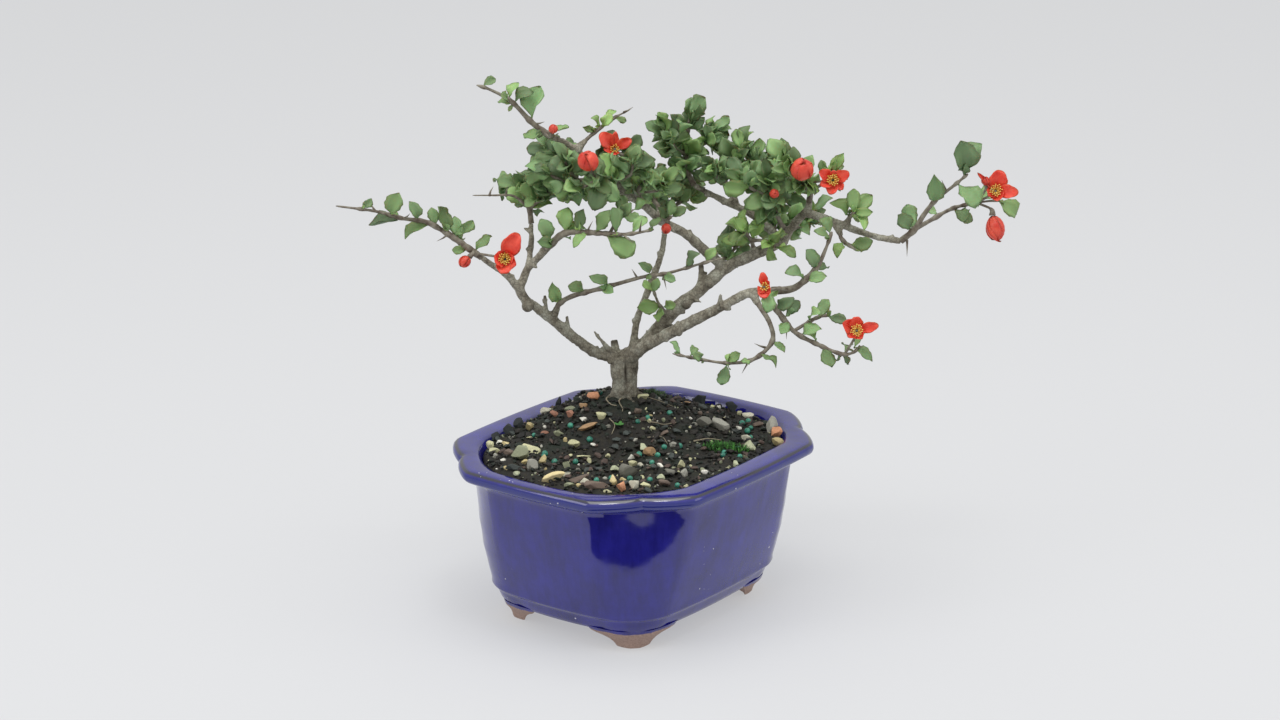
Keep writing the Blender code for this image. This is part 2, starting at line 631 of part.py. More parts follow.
def ring_at(depth, *shape):
    """A pot ring in metres at a depth below the rim."""
    return [Vector((x * MM, y * MM, (POT_HEIGHT - depth) * MM)) for x, y in outline(*shape)]


def inside_ring(depth, gap):
    """A ring that follows the pot's inner wall at a depth, and stands clear of it by a gap."""
    upper, lower = next(rows for rows in zip(INNER_PROFILE, INNER_PROFILE[1:]) if depth <= rows[1][0])
    share = (depth - upper[0]) / (lower[0] - upper[0])
    above, below = (ring_at(z, x + gap, y + gap, *corner) for z, x, y, *corner in (upper, lower))
    return [a.lerp(b, share) for a, b in zip(above, below)]


def make_pot(collection, cutters, glaze):
    """The fired pot: wall, lip, floor, four feet and two drainage holes, in one piece."""
    outer = [ring_at(*row) for row in reversed(OUTER_PROFILE)]
    inner = [ring_at(*row) for row in INNER_PROFILE]
    pot = place("pot", loft(outer + inner), collection, glaze)
    feet = []
    half_x = POT_LENGTH / 2 - OUTER_PROFILE[-1][1] - FOOT_MARGIN
    half_y = POT_WIDTH / 2 - OUTER_PROFILE[-1][2] - FOOT_MARGIN
    # The foot's plan, as distances in from the two sides that meet at its corner.
    plan = (
        (0, FOOT_WING), (0, FOOT_CUT), (FOOT_CUT * 0.32, FOOT_CUT * 0.32), (FOOT_CUT, 0), (FOOT_WING, 0),
        (FOOT_REACH, FOOT_WEB), (FOOT_DEPTH, FOOT_DEPTH), (FOOT_WEB, FOOT_REACH),
    )
    heel = FOOT_CUT * FOOT_HEEL
    for sx in (1, -1):
        for sy in (1, -1):
            rings = []
            for z, scale in FOOT_RINGS:
                rings.append([
                    Vector((
                        sx * (half_x - heel - (x - heel) * scale), sy * (half_y - heel - (y - heel) * scale), z,
                    )) * MM
                    for x, y in plan
                ])
            feet.append(place("foot", loft(rings), cutters))
    combine(pot, feet, "UNION", glaze)
    holes = []
    for side in (-0.5, 0.5):
        bm = bmesh.new()
        spot = Matrix.Translation((side * DRAIN_HOLE_SPACING * MM, 0, FOOT_HEIGHT * MM))
        bmesh.ops.create_cone(
            bm, cap_ends=True, segments=12, radius1=DRAIN_HOLE_RADIUS * MM, radius2=DRAIN_HOLE_RADIUS * MM,
            depth=DRILL_LENGTH * MM, matrix=spot,
        )
        holes.append(place("drain_hole", bm, cutters))
    combine(pot, holes, "DIFFERENCE", glaze)


def make_screens(collection, cutters, plastic):
    """Square plastic mesh plates that lie over the drainage holes."""
    floor = POT_HEIGHT - FLOOR_DEPTH
    for name, side in (("drain_screen_left", -0.5), ("drain_screen_right", 0.5)):
        x = side * DRAIN_HOLE_SPACING * MM
        z = (floor + CLEARANCE + SCREEN_THICKNESS / 2) * MM
        bm = bmesh.new()
        size = Matrix.Diagonal((SCREEN_SIZE * MM, SCREEN_SIZE * MM, SCREEN_THICKNESS * MM, 1))
        bmesh.ops.create_cube(bm, size=1, matrix=Matrix.Translation((x, 0, z)) @ size)
        plate = place(name, bm, collection, plastic)
        gaps = []
        for i in (-1, 1):
            for j in (-1, 1):
                bm = bmesh.new()
                spot = Matrix.Translation((x + i * SCREEN_GAP_OFFSET * MM, j * SCREEN_GAP_OFFSET * MM, z))
                gap = Matrix.Diagonal((SCREEN_GAP * MM, SCREEN_GAP * MM, SCREEN_GAP_DRILL * MM, 1))
                bmesh.ops.create_cube(bm, size=1, matrix=spot @ gap)
                gaps.append(place("mesh_gap", bm, cutters))
        combine(plate, gaps, "DIFFERENCE", plastic)


def soil_depth(x, y):
    """How far below the rim the soil lies at a place, before the mound is added."""
    return SOIL_BELOW_RIM + SOIL_LEAN[0] * x + SOIL_LEAN[1] * y


def make_soil(collection, cutters, earth):
    """The root ball of potting mix: it fills the pot, mounds up to the trunk's hole and carries stones."""
    rng = random.Random(11)
    base = FLOOR_DEPTH - CLEARANCE * 2 - SCREEN_THICKNESS
    rings = []
    for depth in (base, INNER_PROFILE[2][0], SOIL_EDGE_DEPTH):
        rings.append(inside_ring(depth, CLEARANCE * 1.3))
    edge = rings[-1]
    foot = Vector((*TRUNK_FOOT, POT_HEIGHT + MOUND_RISE - soil_depth(*TRUNK_FOOT))) * MM
    collar = []
    for point in edge:
        way = Vector((point.x - foot.x, point.y - foot.y, 0)).normalized()
        collar.append(foot + way * (ROOT_STOCK_RADIUS + CLEARANCE) * MM)
    for share in (0.95, 0.78, 0.5, 0.22):
        ring = []
        for near, far in zip(collar, edge):
            spot = near.lerp(far, share)
            away = min(1.0, math.hypot(spot.x - foot.x, spot.y - foot.y) / (MOUND_RADIUS * MM))
            rise = MOUND_RISE * (0.5 + 0.5 * math.cos(math.pi * away)) * (1 - share ** 10)
            level = POT_HEIGHT - soil_depth(spot.x / MM, spot.y / MM)
            spot.z = (level + rise + rng.uniform(-0.9, 0.9) * (1 - share ** 10)) * MM
            ring.append(spot)
        rings.append(ring)
    rings.append(collar)
    rings.append([point - Vector((0, 0, TRUNK_HOLE_DEPTH * MM)) for point in collar])
    soil = place("soil", loft(rings), collection, earth)
    ground = mesh_tree(soil)
    pieces = []

    def stone(x, y, length, width, height, turn):
        hit = ground.ray_cast(Vector((x * MM, y * MM, 1)), Vector((0, 0, -1)))[0]
        bm = bmesh.new()
        bmesh.ops.create_icosphere(bm, subdivisions=1, radius=1)
        for vert in bm.verts:
            vert.co *= rng.uniform(0.86, 1.1)
        lean = Matrix.Rotation(rng.uniform(-0.3, 0.3), 4, "X")
        size = Matrix.Diagonal((length * MM / 2, width * MM / 2, height * MM / 2, 1))
        spot = Matrix.Translation(hit + Vector((0, 0, height * MM * STONE_LIFT)))
        spin = Matrix.Rotation(math.radians(turn), 4, "Z")
        bmesh.ops.transform(bm, matrix=spot @ spin @ lean @ size, verts=bm.verts)
        pieces.append(place("stone", bm, cutters))

    taken = [(x, y, length) for x, y, length, *_ in STONES]
    for row in STONES:
        stone(*row)
    while len(pieces) < len(STONES) + PEBBLE_COUNT:
        x = rng.uniform(-0.36, 0.36) * POT_LENGTH
        y = rng.uniform(-0.34, 0.34) * POT_WIDTH
        size = rng.uniform(5.5, 8.5)
        if abs(x) + abs(y) > 0.52 * POT_LENGTH:
            continue
        near_trunk = math.hypot(x - TRUNK_FOOT[0], y - TRUNK_FOOT[1]) < 19
        if near_trunk or any(math.hypot(x - a, y - b) < 0.55 * (size + c) + 1.5 for a, b, c in taken):
            continue
        taken.append((x, y, size))
        stone(x, y, size * 1.25, size, size * 0.9, rng.uniform(0, 180))
    combine(soil, pieces, "UNION", earth)


def tree_point(point):
    """A point of the tree's own frame, in millimetres, as a place in metres."""
    turn = Matrix.Rotation(math.radians(TREE_TURN), 4, "Z")
    moved = turn @ Vector(point) + Vector((*TRUNK_FOOT, POT_HEIGHT))
    return moved * MM


def tree_way(way):
    """A direction of the tree's own frame, in metres."""
    return (Matrix.Rotation(math.radians(TREE_TURN), 3, "Z") @ Vector(way)) * MM


def limb_path(name):
    return smooth_path([tree_point(p) for p in LIMBS[name][3]], LIMB_STEP * MM)


def make_wood(collection, cutters, bark):
    """The trunk, its limbs and the short spurs that carry the leafy sprays, grown as one piece."""
    bars = []
    seats = {}
    for name, (sides, start, end, _) in LIMBS.items():
        path = limb_path(name)
        bars.append(tube(name, path, start * MM, end * MM, sides, cutters))
        seats[name] = (path[-1], (path[-1] - path[-2]).normalized())
    for name, spray in SPRAYS.items():
        if len(spray["on"]) == 1:
            continue
        foot = tree_point(spray["on"][1])
        start = spray["twigs"][0][0]
        way = (tree_point(spray["twigs"][0][2][0]) - foot).normalized()
        end = foot + way * SPUR_LENGTH * MM
        bars.append(tube(name + "_spur", [foot, end], (start + 0.5) * MM, start * MM, 4, cutters))
        seats[name] = (end, way)
    bm = bmesh.new()
    top = POT_HEIGHT + ROOT_STOCK_TOP
    hole_mouth = POT_HEIGHT + MOUND_RISE - soil_depth(*TRUNK_FOOT)
    bottom = hole_mouth - TRUNK_HOLE_DEPTH + CLEARANCE * 2
    bmesh.ops.create_cone(
        bm, cap_ends=True, segments=12, radius1=ROOT_STOCK_RADIUS * MM, radius2=ROOT_STOCK_RADIUS * MM,
        depth=(top - bottom) * MM, matrix=Matrix.Translation((*(v * MM for v in TRUNK_FOOT), (top + bottom) / 2 * MM)),
    )
    wood = place("wood", bm, collection, bark)
    combine(wood, bars, "UNION", bark, flat=6)
    return wood, seats


def blade_rows(root, reach, face, width, pad=0.0):
    """The rows of one obovate leaf, folded at its belly and arched: edge, rib and edge, then the tip."""
    length = reach.length + pad
    along = reach.normalized()
    across = along.cross(face).normalized()
    up = across.cross(along).normalized()
    half = width / 2 + pad
    belly = root + along * length * 0.60 + up * length * 0.10
    shoulder = root + along * length * 0.91 + up * length * 0.10
    rows = [
        [belly + across * half * side + up * half * LEAF_FOLD * abs(side) for side in (-1, 0, 1)],
        [shoulder + across * half * side + up * half * LEAF_FOLD * 0.5 for side in (-0.64, 0.64)],
        [root + along * length + up * length * 0.04],
    ]
    if reach.length < SMALL_LEAF * MM:
        rows.pop(1)
    return rows, up


def fill_strip(bm, near, far):
    """Triangles between two rows of one to three points."""
    i = j = 0
    while i < len(near) - 1 or j < len(far) - 1:
        if j == len(far) - 1 or (i < len(near) - 1 and (i + 1) * (len(far) - 1) <= (j + 1) * (len(near) - 1)):
            bm.faces.new((near[i], near[i + 1], far[j]))
            i += 1
        else:
            bm.faces.new((near[i], far[j + 1], far[j]))
            j += 1


def grow_blade(bm, quad, rows, up, thickness):
    """Grows a blade out of a quad's four corners and through its rows."""
    centre = sum((v.co for v in quad), Vector()) / 4
    side = (rows[0][-1] - rows[0][0]).normalized()
    wanted = [up - side, up + side, -up + side, -up - side]
    orders = [[quad[(k + s * i) % 4] for i in range(4)] for k in range(4) for s in (1, -1)]
    top_left, top_right, low_right, low_left = max(
        orders, key=lambda order: sum((v.co - centre).dot(w) for v, w in zip(order, wanted)),
    )
    lift = up * thickness / 2
    top = [[top_left, top_right]] + [[bm.verts.new(point + lift) for point in row] for row in rows]
    low = [[low_left, low_right]] + [[bm.verts.new(point - lift) for point in row] for row in rows[:-1]]
    pointed = len(rows[-1]) == 1
    low.append(top[-1] if pointed else [bm.verts.new(point - lift) for point in rows[-1]])
    for layer in (top, low):
        for near, far in zip(layer, layer[1:]):
            fill_strip(bm, near, far)
    for edge in (0, -1):
        for k in range(len(rows)):
            bm.faces.new((top[k][edge], top[k + 1][edge], low[k][edge]))
            if top[k + 1] is not low[k + 1]:
                bm.faces.new((top[k + 1][edge], low[k + 1][edge], low[k][edge]))
    if not pointed:
        fill_strip(bm, top[-1], low[-1])


def ring_frame(way, hint):
    """Two directions across a way, the first as near the hint as it can be."""
    u = (hint - way * hint.dot(way)).normalized()
    return u, way.cross(u).normalized()


def basis_of(axis):
    """A turn that carries +Z to an axis."""
    return axis.to_track_quat("Z", "Y").to_matrix()


def crimped_ring(base, basis, height, radius, points, crimp=0.0, zigzag=0.0, turn=0.0):
    """A ring about an axis whose points go in and out, and up and down, by turns."""
    ring = []
    for i in range(points):
        angle = math.tau * i / points + math.radians(turn)
        near = i % 2
        r = radius * (1 - crimp * near)
        ring.append(base + basis @ Vector((r * math.cos(angle), r * math.sin(angle), height - zigzag * near)))
    return ring


def open_bloom(base, basis, radius, turn, claw, edge, wide):
    """Five round petals on a small disc, each cupped and curving outwards."""
    bm = bmesh.new()
    points = 10
    levels = [
        [bm.verts.new(p) for p in crimped_ring(base, basis, z * MM, r * MM, points, turn=turn)]
        for z, r in ((0.0, 2.0), (1.7, 2.3))
    ]
    bm.faces.new(levels[0])
    bm.faces.new(levels[1])
    for i in range(points):
        quad = (levels[0][i], levels[0][(i + 1) % points], levels[1][(i + 1) % points], levels[1][i])
        if i % 2:
            bm.faces.new(quad)
            continue
        middle = math.radians(turn + 360 / points * (i + 0.5))
        out = basis @ Vector((math.cos(middle), math.sin(middle), 0))
        axis = basis @ Vector((0, 0, 1))
        side = axis.cross(out)
        r, z = 2.1 * MM, 0.9 * MM
        step = radius / 5.6
        line = []
        for k in range(6):
            angle = math.radians(claw + (edge - claw) * (k + 0.5) / 6)
            r += step * math.sin(angle)
            z += step * math.cos(angle)
            line.append((r, z, angle))
        rows = []
        for k, share in ((1, 0.21), (3, 0.40), (5, 0.25)):
            r, z, angle = line[k]
            half = radius * share * wide
            back = (axis * math.sin(angle) - out * math.cos(angle)) * half * PETAL_CUP
            middle = base + out * r + axis * z
            skew = back * 0.45
            rows.append([middle - side * half + back + skew, middle, middle + side * half + back - skew])
        up = (axis * math.sin(line[2][2]) - out * math.cos(line[2][2])).normalized()
        grow_blade(bm, quad, rows, up, PETAL_THICKNESS * MM)
    return bm


def half_open_bloom(base, basis, radius, turn):
    """A cup of upright petals with notched edges round the petals that are still wrapped."""
    shape = (
        (0.0, 0.42, 0.0, 0.0), (0.45, 0.92, 0.10, 0.0), (1.0, 1.0, 0.12, 0.0), (1.62, 0.72, 0.0, 0.32),
        (1.50, 0.56, 0.0, 0.24), (1.05, 0.46, 0.0, 0.0), (1.45, 0.40, 0.2, 0.0), (1.85, 0.12, 0.0, 0.0),
    )
    return loft([
        crimped_ring(base, basis, z * radius, r * radius, 10, crimp, zigzag * radius, turn)
        for z, r, crimp, zigzag in shape
    ])


def bud_bloom(base, basis, radius, turn):
    """A bud: petals wrapped into an egg with four ridges that twist a little."""
    shape = ((0.0, 0.5), (0.45, 0.92), (1.1, 1.0), (1.75, 0.66), (2.15, 0.16))
    return loft([
        crimped_ring(base, basis, z * radius, r * radius, 8, 0.12, turn=turn + 18 * z) for z, r in shape
    ])


def stamen_tuft(base, basis, height):
    """The stamens: a crown of thick threads round the style."""
    shape = ((0.0, 1.2, 0.0, 0.0), (0.45, 1.3, 0.0, 0.0), (0.95, 2.9, 0.5, 0.28), (0.62, 0.8, 0.0, 0.0), (1.05, 0.5, 0.0, 0.0))
    return loft([
        crimped_ring(base, basis, z * height, r * MM, 8, crimp, zigzag * height) for z, r, crimp, zigzag in shape
    ])


def make_bloom(name, seat, axis, radius, kind, turn, collection, materials):
    """The petals of one bloom on its seat, and the stamens of an open one."""
    basis = basis_of(axis)
    base = seat + axis * CLEARANCE * MM
    if kind in PETALS:
        bm = open_bloom(base, basis, radius * MM, turn, *PETALS[kind])
    elif kind == "cup":
        bm = half_open_bloom(base, basis, radius * MM, turn)
    else:
        bm = bud_bloom(base, basis, radius * MM, turn)
    made = [place(name, bm, collection, materials["petal"])]
    if kind == "open":
        foot = base + axis * (1.7 + CLEARANCE) * MM
        tuft = stamen_tuft(foot, basis, 5.6 * MM)
        made.append(place(name.replace("bloom", "stamens"), tuft, collection, materials["stamen"]))
    return made


class Space:
    """What already stands where, so that a new leaf can be kept clear of it."""

    def __init__(self):
        self.solids = []

    @staticmethod
    def box(bm):
        return [
            (min(v.co[k] for v in bm.verts), max(v.co[k] for v in bm.verts)) for k in range(3)
        ]

    def add(self, bm):
        self.solids.append((self.box(bm), BVHTree.FromBMesh(bm)))

    def add_object(self, item):
        bm = bmesh.new()
        bm.from_mesh(item.data)
        self.add(bm)
        bm.free()

    def is_free(self, bm):
        box = self.box(bm)
        tree = BVHTree.FromBMesh(bm)
        for other_box, other_tree in self.solids:
            if any(a[0] > b[1] or a[1] < b[0] for a, b in zip(box, other_box)):
                continue
            if tree.overlap(other_tree):
                return False
        return True


class Twig:
    """One bare twig: its path, its radii and what grows out of it, each at a place along it."""

    def __init__(self, path, start, end):
        self.path = path
        self.start = start * MM
        self.end = end * MM
        self.lengths = [0.0]
        for a, b in zip(path, path[1:]):
            self.lengths.append(self.lengths[-1] + (b - a).length)
        self.growths = []
        self.calyx = 0.0

    def radius(self, along):
        """The radius at a length along the twig, which a stalk's calyx widens at its end."""
        flare = max(0.0, 1 - (self.lengths[-1] - along) / (3.6 * MM)) ** 0.5
        plain = self.start + (self.end - self.start) * min(1.0, along / self.lengths[-1])
        return plain + max(0.0, self.calyx - plain) * flare

    def spot(self, along):
        """The point, direction and radius at a length along the twig."""
        for i, (a, b) in enumerate(zip(self.path, self.path[1:])):
            if along <= self.lengths[i + 1] or i == len(self.path) - 2:
                way = (b - a).normalized()
                return a + way * (along - self.lengths[i]), way, self.radius(along)

    def nearest(self, point):
        """The distance to a point and the length along the twig that is nearest to it."""
        best = None
        for i, (a, b) in enumerate(zip(self.path, self.path[1:])):
            way = b - a
            share = max(0.0, min(1.0, (point - a).dot(way) / way.length_squared))
            found = ((a + way * share - point).length, self.lengths[i] + way.length * share)
            best = min(best, found) if best else found
        return best

    def stations(self):
        """The growths in groups of up to four that leave the twig at one place."""
        groups = []
        for growth in sorted(self.growths, key=lambda g: g[0]):
            along = min(max(growth[0], 3.4 * MM), self.lengths[-1] - 1.2 * MM)
            if groups and along - groups[-1][0] < STATION_SPACING * MM:
                if len(groups[-1][1]) < 4:
                    groups[-1][1].append(growth)
                    continue
                along = groups[-1][0] + STATION_SPACING * MM
                if along > self.lengths[-1] - 0.9 * MM:
                    continue
            groups.append((along, [growth]))
        return groups


def bare_tube(twig, pad):
    """A twig's rough outside, to keep leaves clear of it."""
    rings = []
    for i, centre in enumerate(twig.path):
        before = twig.path[max(0, i - 1)]
        after = twig.path[min(len(twig.path) - 1, i + 1)]
        u, v = ring_frame((after - before).normalized(), Vector((0.3, 0.2, 1)))
        radius = twig.start + (twig.end - twig.start) * twig.lengths[i] / twig.lengths[-1] + pad
        rings.append([centre + u * radius, centre + v * radius, centre - u * radius, centre - v * radius])
    return loft(rings)


def plan_spray(name, spray, seat):
    """The twigs of a spray, with its side twigs, stalks, leaves and thorns set out along them."""
    end, way = seat
    twigs = []
    for i, (start, finish, points) in enumerate(spray["twigs"]):
        places = [tree_point(p) for p in points]
        if i == 0:
            lead = end + way * CLEARANCE * MM
            path = [lead] + smooth_path([lead + way * 2.5 * MM, *places], TWIG_STEP * MM)
        else:
            path = smooth_path(places, TWIG_STEP * MM)
        twigs.append(Twig(path, start, finish))
    stalks = []
    for root, top_point, axis, radius in spray.get("stalks", ()):
        top = tree_point(top_point)
        axis = tree_way(axis).normalized()
        stalk = Twig([tree_point(root), top - axis * 3.6 * MM, top - axis * 1.6 * MM, top], 0.9, 0.9)
        stalk.calyx = radius * MM
        stalks.append(stalk)
    for child in twigs[1:] + stalks:
        parents = [t for t in twigs if t is not child]
        _, along, parent = min(
            ((*t.nearest(child.path[0]), t) for t in parents), key=lambda found: found[0],
        )
        parent.growths.append((along, "twig", child, None))
    for twig, share, reach in spray.get("leaves", ()):
        along = share * twigs[twig].lengths[-1]
        twigs[twig].growths.append((along, "leaf", tree_way(reach), 0.25))
    for twig, share, reach in spray.get("thorns", ()):
        twigs[twig].growths.append((share * twigs[twig].lengths[-1], "thorn", tree_way(reach), None))
    rng = random.Random(name)
    for number, count, length, first in spray.get("fill", ()):
        twig = twigs[number]
        whorls = math.ceil((count - 1) / 4)
        phase = rng.uniform(0, 360)
        for i in range(count - 1):
            whorl = i % whorls
            along = (first + (0.97 - first) * (whorl + 0.5) / whorls) * twig.lengths[-1]
            _, way, _ = twig.spot(along)
            turn = phase + 57 * whorl + 90 * (i // whorls)
            out = Matrix.Rotation(math.radians(turn), 3, way) @ way.orthogonal().normalized()
            reach = (out + way * rng.uniform(0.3, 0.7) + Vector((0, 0, 0.25))).normalized()
            twig.growths.append((along, "leaf", reach * length * rng.uniform(0.82, 1.15) * MM, 0.45))
        _, way, _ = twig.spot(twig.lengths[-1])
        twig.growths.append((twig.lengths[-1], "crown", way * length * MM, 0.45))
    return twigs, stalks


def leaf_test(root, way, face, width):
    """A leaf's outline made a little thicker and wider, from just clear of its root."""
    start = root + way.normalized() * ROOT_ALLOWANCE * MM
    u, v = ring_frame(way.normalized(), face)
    ring = [start + (u * a + v * b) * SAFETY * MM for a, b in ((1, 1), (1, -1), (-1, -1), (-1, 1))]
    bm = bmesh.new()
    quad = [bm.verts.new(point) for point in ring]
    bm.faces.new(quad)
    rows, up = blade_rows(root, way, face, width, SAFETY * MM)
    grow_blade(bm, quad, rows, up, (LEAF_THICKNESS + 2 * SAFETY) * MM)
    return bm


def crosses_own(bm, fresh):
    """Whether the newest faces of a spray cross any older face that they don't touch at a corner."""
    bm.verts.index_update()
    fresh = set(fresh)
    places = [v.co for v in bm.verts]
    old = [[v.index for v in face.verts] for face in bm.faces if face not in fresh]
    new = [[v.index for v in face.verts] for face in fresh]
    pairs = BVHTree.FromPolygons(places, new).overlap(BVHTree.FromPolygons(places, old))
    return any(not set(new[i]) & set(old[j]) for i, j in pairs)


def grow_leaf(bm, quad, out, reach, lean, space, rng):
    """Grows one leaf, bent aside until it is clear of everything else, or leaves it out."""
    root = sum((v.co for v in quad), Vector()) / 4
    for attempt in range(LEAF_TRIES):
        spread = 0.11 * attempt
        way = (reach.normalized() + Vector([rng.uniform(-spread, spread) for _ in range(3)])).normalized()
        rise = way.dot(out)
        if rise < 0.5:
            way = (way + out * (0.75 - rise)).normalized()
        toward = tree_way(LEAF_FACES).normalized()
        face = (toward + Vector([rng.uniform(-lean, lean) for _ in range(3)])).normalized()
        if abs(face.dot(way)) > 0.9:
            continue
        way *= reach.length
        width = reach.length * LEAF_WIDTH
        test = leaf_test(root, way, face, width)
        free = space.is_free(test)
        if free:
            before = set(bm.faces)
            rows, up = blade_rows(root, way, face, width)
            grow_blade(bm, quad, rows, up, LEAF_THICKNESS * MM)
            fresh = [f for f in bm.faces if f not in before]
            if crosses_own(bm, fresh):
                free = False
                loose = {v for f in fresh for v in f.verts} - set(quad)
                bmesh.ops.delete(bm, geom=list(loose), context="VERTS")
            else:
                space.add(test)
        test.free()
        if free:
            return True
    return False


def next_ring(bm, centre, way, u, v, radius):
    """Four corners round a twig, turned as little as can be from the last ring's two directions."""
    u = (u - way * u.dot(way)).normalized()
    v = v - way * v.dot(way)
    v = (v - u * v.dot(u)).normalized()
    return u, v, [bm.verts.new(centre + offset * radius) for offset in (u, v, -u, -v)]


def skin_twig(bm, twig, ring, hosts):
    """Skins a twig and its side twigs ring by ring, and notes the faces that things can grow from."""
    marks = []
    stations = twig.stations()
    for along, centre in list(zip(twig.lengths, twig.path))[1:-1]:
        if all(abs(along - station[0]) > 0.5 * TWIG_STEP * MM for station in stations):
            marks.append((along, centre, None))
    for along, growths in stations:
        for shift, group in ((-STATION / 2, None), (STATION / 2, growths)):
            marks.append((along + shift * MM, twig.spot(along + shift * MM)[0], group))
    marks.append((twig.lengths[-1], twig.path[-1], None))
    marks.sort(key=lambda mark: mark[0])
    centre, way, radius = twig.spot(0)
    if ring:
        centre = sum((v.co for v in ring), Vector()) / 4
        marks = [mark for mark in marks if (mark[1] - centre).length > 1.6 * MM and mark[0] > 1.5 * MM]
        u, v = ring[0].co - centre, ring[1].co - centre
    else:
        u, v, ring = next_ring(bm, centre, way, *ring_frame(way, Vector((0.1, 0.2, 1))), radius)
        bm.faces.new(ring)
    for index, (along, spot, growths) in enumerate(marks):
        after = marks[index + 1][1] if index + 1 < len(marks) else spot * 2 - centre
        way = ((spot - centre).normalized() + (after - spot).normalized()).normalized()
        u, v, upper = next_ring(bm, spot, way, u, v, twig.radius(along))
        quads = [(ring[k], ring[(k + 1) % 4], upper[(k + 1) % 4], upper[k]) for k in range(4)]
        middle = (centre + spot) / 2
        ring = upper
        centre = spot
        for _, kind, child, _ in growths or ():
            if kind == "twig":
                quad = quads.pop(facing(quads, middle, child.path[2] - middle))
                skin_twig(bm, child, quad, hosts)
        if growths:
            hosts.append((middle, quads, [g for g in growths if g[1] in ("leaf", "thorn")]))
        else:
            for quad in quads:
                bm.faces.new(quad)
    hosts.append((centre - way * MM, [ring], [g for g in twig.growths if g[1] == "crown"]))


def facing(quads, middle, way):
    """Which of the quads round a twig's middle looks most along a way."""
    return max(range(len(quads)), key=lambda k: (
        sum((v.co for v in quads[k]), Vector()) / 4 - middle
    ).normalized().dot(way))


def make_spray(name, twigs, space, collection, leafy):
    """A leafy spray, grown as one skin: its twigs and stalks first, then its thorns and leaves."""
    rng = random.Random(name + " leaves")
    bm = bmesh.new()
    hosts = []
    skin_twig(bm, twigs[0], None, hosts)
    for middle, quads, growths in hosts:
        for _, kind, reach, lean in sorted(growths, key=lambda growth: growth[1] != "thorn"):
            if not quads:
                continue
            pick = facing(quads, middle, reach)
            quad = quads[pick]
            root = sum((v.co for v in quad), Vector()) / 4
            if kind == "thorn":
                point = bm.verts.new(root + reach)
                for k in range(4):
                    bm.faces.new((quad[k], quad[(k + 1) % 4], point))
                quads.pop(pick)
            elif grow_leaf(bm, quad, (root - middle).normalized(), reach, lean, space, rng):
                quads.pop(pick)
        for quad in quads:
            bm.faces.new(quad)
    return place(name, bm, collection, leafy)


def settle(collection):
    """Puts the origin under the middle of the whole part, on the surface that it stands on."""
    corners = [vert.co for item in collection.objects for vert in item.data.vertices]
    middle = [(min(c[k] for c in corners) + max(c[k] for c in corners)) / 2 for k in range(2)]
    stand = bpy.data.objects.new("part_origin", None)
    bpy.context.scene.collection.objects.link(stand)
    stand.location = (-middle[0], -middle[1], 0)
    for item in collection.objects:
        item.parent = stand


def main():
    clear_scene()
    collection = new_collection("flowering_quince_bonsai")
    cutters = new_collection("cutters")
    materials = {
        "glaze": paint("cobalt_glaze", (0.022, 0.028, 0.22), 0.12, 1.0),
        "plastic": paint("black_plastic_mesh", (0.02, 0.02, 0.02), 0.6),
        "earth": paint("potting_mix", (0.035, 0.026, 0.018), 0.95),
        "bark": paint("quince_bark", (0.13, 0.10, 0.075), 0.85),
        "leaf": paint("quince_leaf", (0.035, 0.15, 0.03), 0.4),
        "petal": paint("quince_petal", (0.78, 0.045, 0.02), 0.5),
        "stamen": paint("quince_stamen", (0.75, 0.5, 0.06), 0.6),
    }
    make_pot(collection, cutters, materials["glaze"])
    make_screens(collection, cutters, materials["plastic"])
    make_soil(collection, cutters, materials["earth"])
    wood, seats = make_wood(collection, cutters, materials["bark"])
    space = Space()
    space.add_object(wood)
    plans = {}
    for name, spray in SPRAYS.items():
        seat = seats[spray["on"][0]] if len(spray["on"]) == 1 else seats[name]
        plans[name] = plan_spray(name, spray, seat)
        for twig in plans[name][0] + plans[name][1]:
            rough = bare_tube(twig, SAFETY * 0.5 * MM)
            space.add(rough)
            rough.free()
    for name, (spray, number, radius, kind, turn) in BLOOMS.items():
        _, seat, axis, _ = SPRAYS[spray]["stalks"][number]
        axis = tree_way(axis).normalized()
        for item in make_bloom(name, tree_point(seat), axis, radius, kind, turn, collection, materials):
            space.add_object(item)
    for name, (twigs, _) in plans.items():
        make_spray(name, twigs, space, collection, materials["leaf"])
    settle(collection)


main()
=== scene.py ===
import json
import math
import random

import bmesh
import bpy
from mathutils import Matrix, Vector, noise
from mathutils.bvhtree import BVHTree

